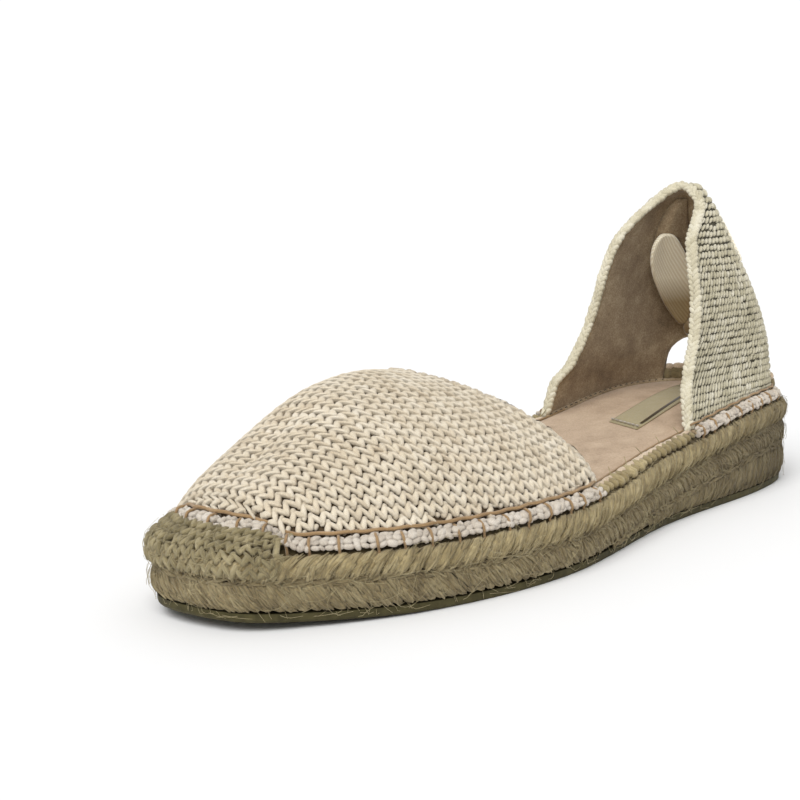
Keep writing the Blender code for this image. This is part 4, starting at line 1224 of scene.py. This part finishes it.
def heel_band():
    """Canvas heel piece: ground cloth, lining, woven floats, selvedge, hem and the rim behind."""
    body = bpy.data.meshes.new("heel_band")
    shape = node_copy("heel_band", sink=0.0003)
    axis_x = shifted([(0.045, 0, 0)])[0][0]
    inner = []
    for face in shape.faces:
        middle = face.calc_center_median()
        outward = Vector((min(middle.x - axis_x, 0.0), middle.y + MIDDLE_Y, 0.0))
        inner.append(0 if face.normal.dot(outward) > 0 else 1)
    shape.to_mesh(body)
    shape.free()
    piece("heel_band_cloth", body, [CANVAS_GROUND, LINING], ["heel_band"], levels=1)
    body.polygons.foreach_set("material_index", inner)
    copies = []
    for side in (1, -1):
        more, template = band_weave(side)
        copies += more
    piece("heel_band_weave", joined(copies, template), CANVAS)
    knot = bead(8, 6, blunt=0.8)
    edge = []
    for side in (1, -1):
        for depth, lean in ((0.08, 0.62), (0.62, -0.62)):
            path = band_edges(side, depth)
            edge += along_path(path, knot, SELVEDGE_PITCH * 0.75, (0.0041, 0.0019, 0.0021),
                               turn=side * lean, out=(1.0, side * 0.35, 0.2), sway=False)
    piece("heel_band_selvedge", joined(edge, knot), SELVEDGE)
    lumps = bead(8, 6, blunt=0.8)
    hem = []
    stitches = []
    threads = []
    for side in (1, -1):
        patch = band_hem_patch(side)
        hem += lay(patch, lumps, hem_lumps(patch))
        stitches += blanket_stitches(patch, 0.35)
        threads.append(thread_line(patch))
    piece("heel_band_hem", joined(hem, lumps), HEM_COTTON)
    piece("heel_band_thread", cords(threads + stitches, THREAD_RADIUS), THREAD)
    folds = [band_foot(INSOLE_INSET - 0.0005, -0.0005, np.linspace(0.0, 1.0, 40), side) for side in (1, -1)]
    behind = round_the_sole(INSOLE_INSET - 0.0005, 600)
    behind = behind[behind[:, 0] < BAND_LEG_BACK_X + 0.002]
    behind = behind[np.argsort(behind[:, 1])]
    folds.append(np.column_stack([behind, [foot_height(x) - 0.0005 for x in behind[:, 0]]]))
    piece("lining_foot_fold", cords(folds, 0.0011), LINING)
    tacks = []
    for side in (1, -1):
        foot = band_foot(INSOLE_INSET + 0.0003, 0.0003, np.linspace(0.03, 0.97, 22), side)
        for point in foot:
            tacks.append([point + step for step in
                          ((0.0006, 0, -0.0001), (0, 0, 0.0002), (-0.0006, 0, -0.0001))])
    piece("lining_tack_stitches", cords(tacks, 0.00014, 1), DARK_LINE)
    rim = round_the_sole(HEEL_RIM_INSET, 600)
    rim = np.vstack([rim[rim[:, 1] < 0], rim[rim[:, 1] >= 0]])
    rim = rim[rim[:, 0] < BAND_LEG_BACK_X]
    rim = rim[np.argsort(rim[:, 1])]
    rim = np.column_stack([rim, [foot_height(x) + HEEL_RIM_RISE for x in rim[:, 0]]])
    rolls = along_path(rim, knot, 0.0034, (0.0044, 0.0026, 0.0030), turn=0.1, out=(0, 0, 1.0))
    piece("heel_rim_fold", joined(rolls, knot), EDGE_FOLD)
    lower = along_path(rim - (0, 0, 0.0026), knot, 0.0024, (0.0042, 0.0034, 0.0056), turn=0.5,
                       out=(0, 0, 1.0))
    piece("heel_rim_jute", joined(lower, knot), JUTE_STRAND)


def slit_cover():
    """Sheets of lining over the slits on the inner face, in front of the ribbon's run."""
    for side, name in ((1, "outer"), (-1, "inner")):
        rows = []
        shares = np.linspace(0.52, 0.86, 16)
        for along in np.linspace(0, 1, 16):
            rise = mix(0.66, 0.95, along)
            line = band_level(rise, BAND_WALL - 0.0001, shares, side)
            inner = band_level(rise, BAND_WALL + 0.0027, shares, side)
            swell = np.sin(np.linspace(0, 1, 16) * math.pi) * math.sin(along * math.pi)
            rows.append(line + (inner - line) * swell[:, None])
        sheet("lining_cover_" + name, np.array(rows), 0.0003, LINING)


def ribbon_knot():
    """The knotted end under the ribbon's loop."""
    template = bead(10, 8, blunt=0.8)
    copies = []
    for rise, share, sizes in ((0.275, 0.80, (0.0050, 0.0042, 0.0058)),
                               (0.225, 0.84, (0.0052, 0.0030, 0.0036)),
                               (0.32, 0.82, (0.0040, 0.0040, 0.0060))):
        middle = band_level(rise, BAND_WALL + 0.0030, [share], -1)[0]
        copies.append(middle + template[0] * sizes)
    piece("ribbon_knot", joined(copies, template), RIBBON_SHADE)


RIB_LEAN = 1.1          # how steeply the ribs of the loop fall towards the heel


def ribbon():
    for node in ("ribbon_crossing", "ribbon_loop"):
        mesh = bpy.data.meshes.new(node)
        shape = node_copy(node)
        uv = shape.loops.layers.uv.new("UVMap")
        for face in shape.faces:
            for loop in face.loops:
                place = loop.vert.co
                lean = RIB_LEAN * place.x if node == "ribbon_loop" else 0.0
                loop[uv].uv = ((place.z - lean) * 260.0, place.y * 20.0)
        shape.to_mesh(mesh)
        shape.free()
        made = piece(node + "_cloth", mesh, RIBBON, [node], levels=2)


# Camera, floor and light

def look_from_photo():
    """The photo's camera, solved from the sole's outline."""
    azimuth, elevation, distance = math.radians(129.81), math.radians(10.05), 0.4543
    target = Vector(shifted([(LENGTH / 2, 0.0, 0.03)])[0])
    back = Vector((math.sin(azimuth) * math.cos(elevation), -math.cos(azimuth) * math.cos(elevation),
                   math.sin(elevation)))
    data = bpy.data.cameras.new("photo_camera")
    data.sensor_width = 36.0
    data.lens = 68.98
    data.shift_x = -0.148
    data.shift_y = 0.0368
    camera = bpy.data.objects.new("photo_camera", data)
    camera.rotation_mode = "QUATERNION"
    roll = Matrix.Rotation(math.radians(PHOTO_ROLL), 4, "Z")
    turn = (-back).to_track_quat("-Z", "Y").to_matrix().to_4x4() @ roll
    camera.rotation_quaternion = turn.to_quaternion()
    camera.location = target + back * distance
    bpy.context.scene.collection.objects.link(camera)
    bpy.context.scene.camera = camera


PHOTO_ROLL = -0.8
FILL_LIGHT = 0.56            # pale room round the shoe, brighter behind it
KEY_LIGHT = 2.6
KEY_FROM = (0.60, 0.28, 0.80)


def floor_and_light():
    shape = bmesh.new()
    bmesh.ops.create_grid(shape, x_segments=1, y_segments=1, size=60.0)
    mesh = bpy.data.meshes.new("floor")
    shape.to_mesh(mesh)
    shape.free()
    made, tree, shader = new_finish("white_paper_floor", 0.9)
    shader.inputs["Base Color"].default_value = linear("#EDEDED")
    mesh.materials.append(made)
    floor = bpy.data.objects.new("floor", mesh)
    bpy.context.scene.collection.objects.link(floor)
    world = bpy.data.worlds.new("studio")
    world.use_nodes = True
    tree = world.node_tree
    way = add_node(tree, "ShaderNodeTexCoord").outputs["Generated"]
    behind = add_node(tree, "ShaderNodeVectorMath", {0: way, 1: (-0.768, -0.640, 0.0)},
                      operation="DOT_PRODUCT")
    bright = add_node(tree, "ShaderNodeMapRange", {"Value": behind.outputs["Value"], "From Min": 0.55,
                                                   "From Max": 0.85, "To Min": FILL_LIGHT, "To Max": 1.06})
    tree.links.new(bright.outputs["Result"], tree.nodes["Background"].inputs["Strength"])
    tree.nodes["Background"].inputs["Color"].default_value = (1.0, 1.0, 1.0, 1.0)
    bpy.context.scene.world = world
    data = bpy.data.lights.new("soft_window", "SUN")
    data.energy = KEY_LIGHT
    data.angle = math.radians(45)
    lamp = bpy.data.objects.new("soft_window", data)
    lamp.rotation_mode = "QUATERNION"
    lamp.rotation_quaternion = (-Vector(KEY_FROM)).to_track_quat("-Z", "Y")
    lamp.location = Vector(KEY_FROM) * 2
    bpy.context.scene.collection.objects.link(lamp)
    bpy.context.scene.view_settings.view_transform = "Standard"
    bpy.context.scene.view_settings.look = "None"


def main():
    outsole()
    lower, upper, wedge = sole_braids()
    toe = toe_patch()
    vamp()
    lump = bead(8, 6, blunt=0.8)
    hem = hem_patch()
    piece("vamp_hem", joined(lay(hem, lump, hem_lumps(hem)), lump), HEM_COTTON)
    piece("vamp_thread", cords([thread_line(hem)], THREAD_RADIUS * 1.3), THREAD)
    piece("vamp_blanket_stitches", cords(blanket_stitches(hem), THREAD_RADIUS), THREAD)
    edge = bead(8, 6, blunt=0.8)
    copies = along_path(THROAT_LINE, edge, 0.0017, (0.0026, 0.0017, 0.0021), turn=0.35, out=(-1.0, 0, 0.3))
    piece("throat_edge", joined(copies, edge), COTTON)
    insole()
    label()
    heel_band()
    slit_cover()
    ribbon()
    ribbon_knot()
    fibres = loose_fibres([lower, upper, wedge], 220) + loose_fibres([toe], 40)
    piece("loose_fibres", cords(fibres, 0.00005, 0), FIBRE)
    look_from_photo()
    floor_and_light()


main()
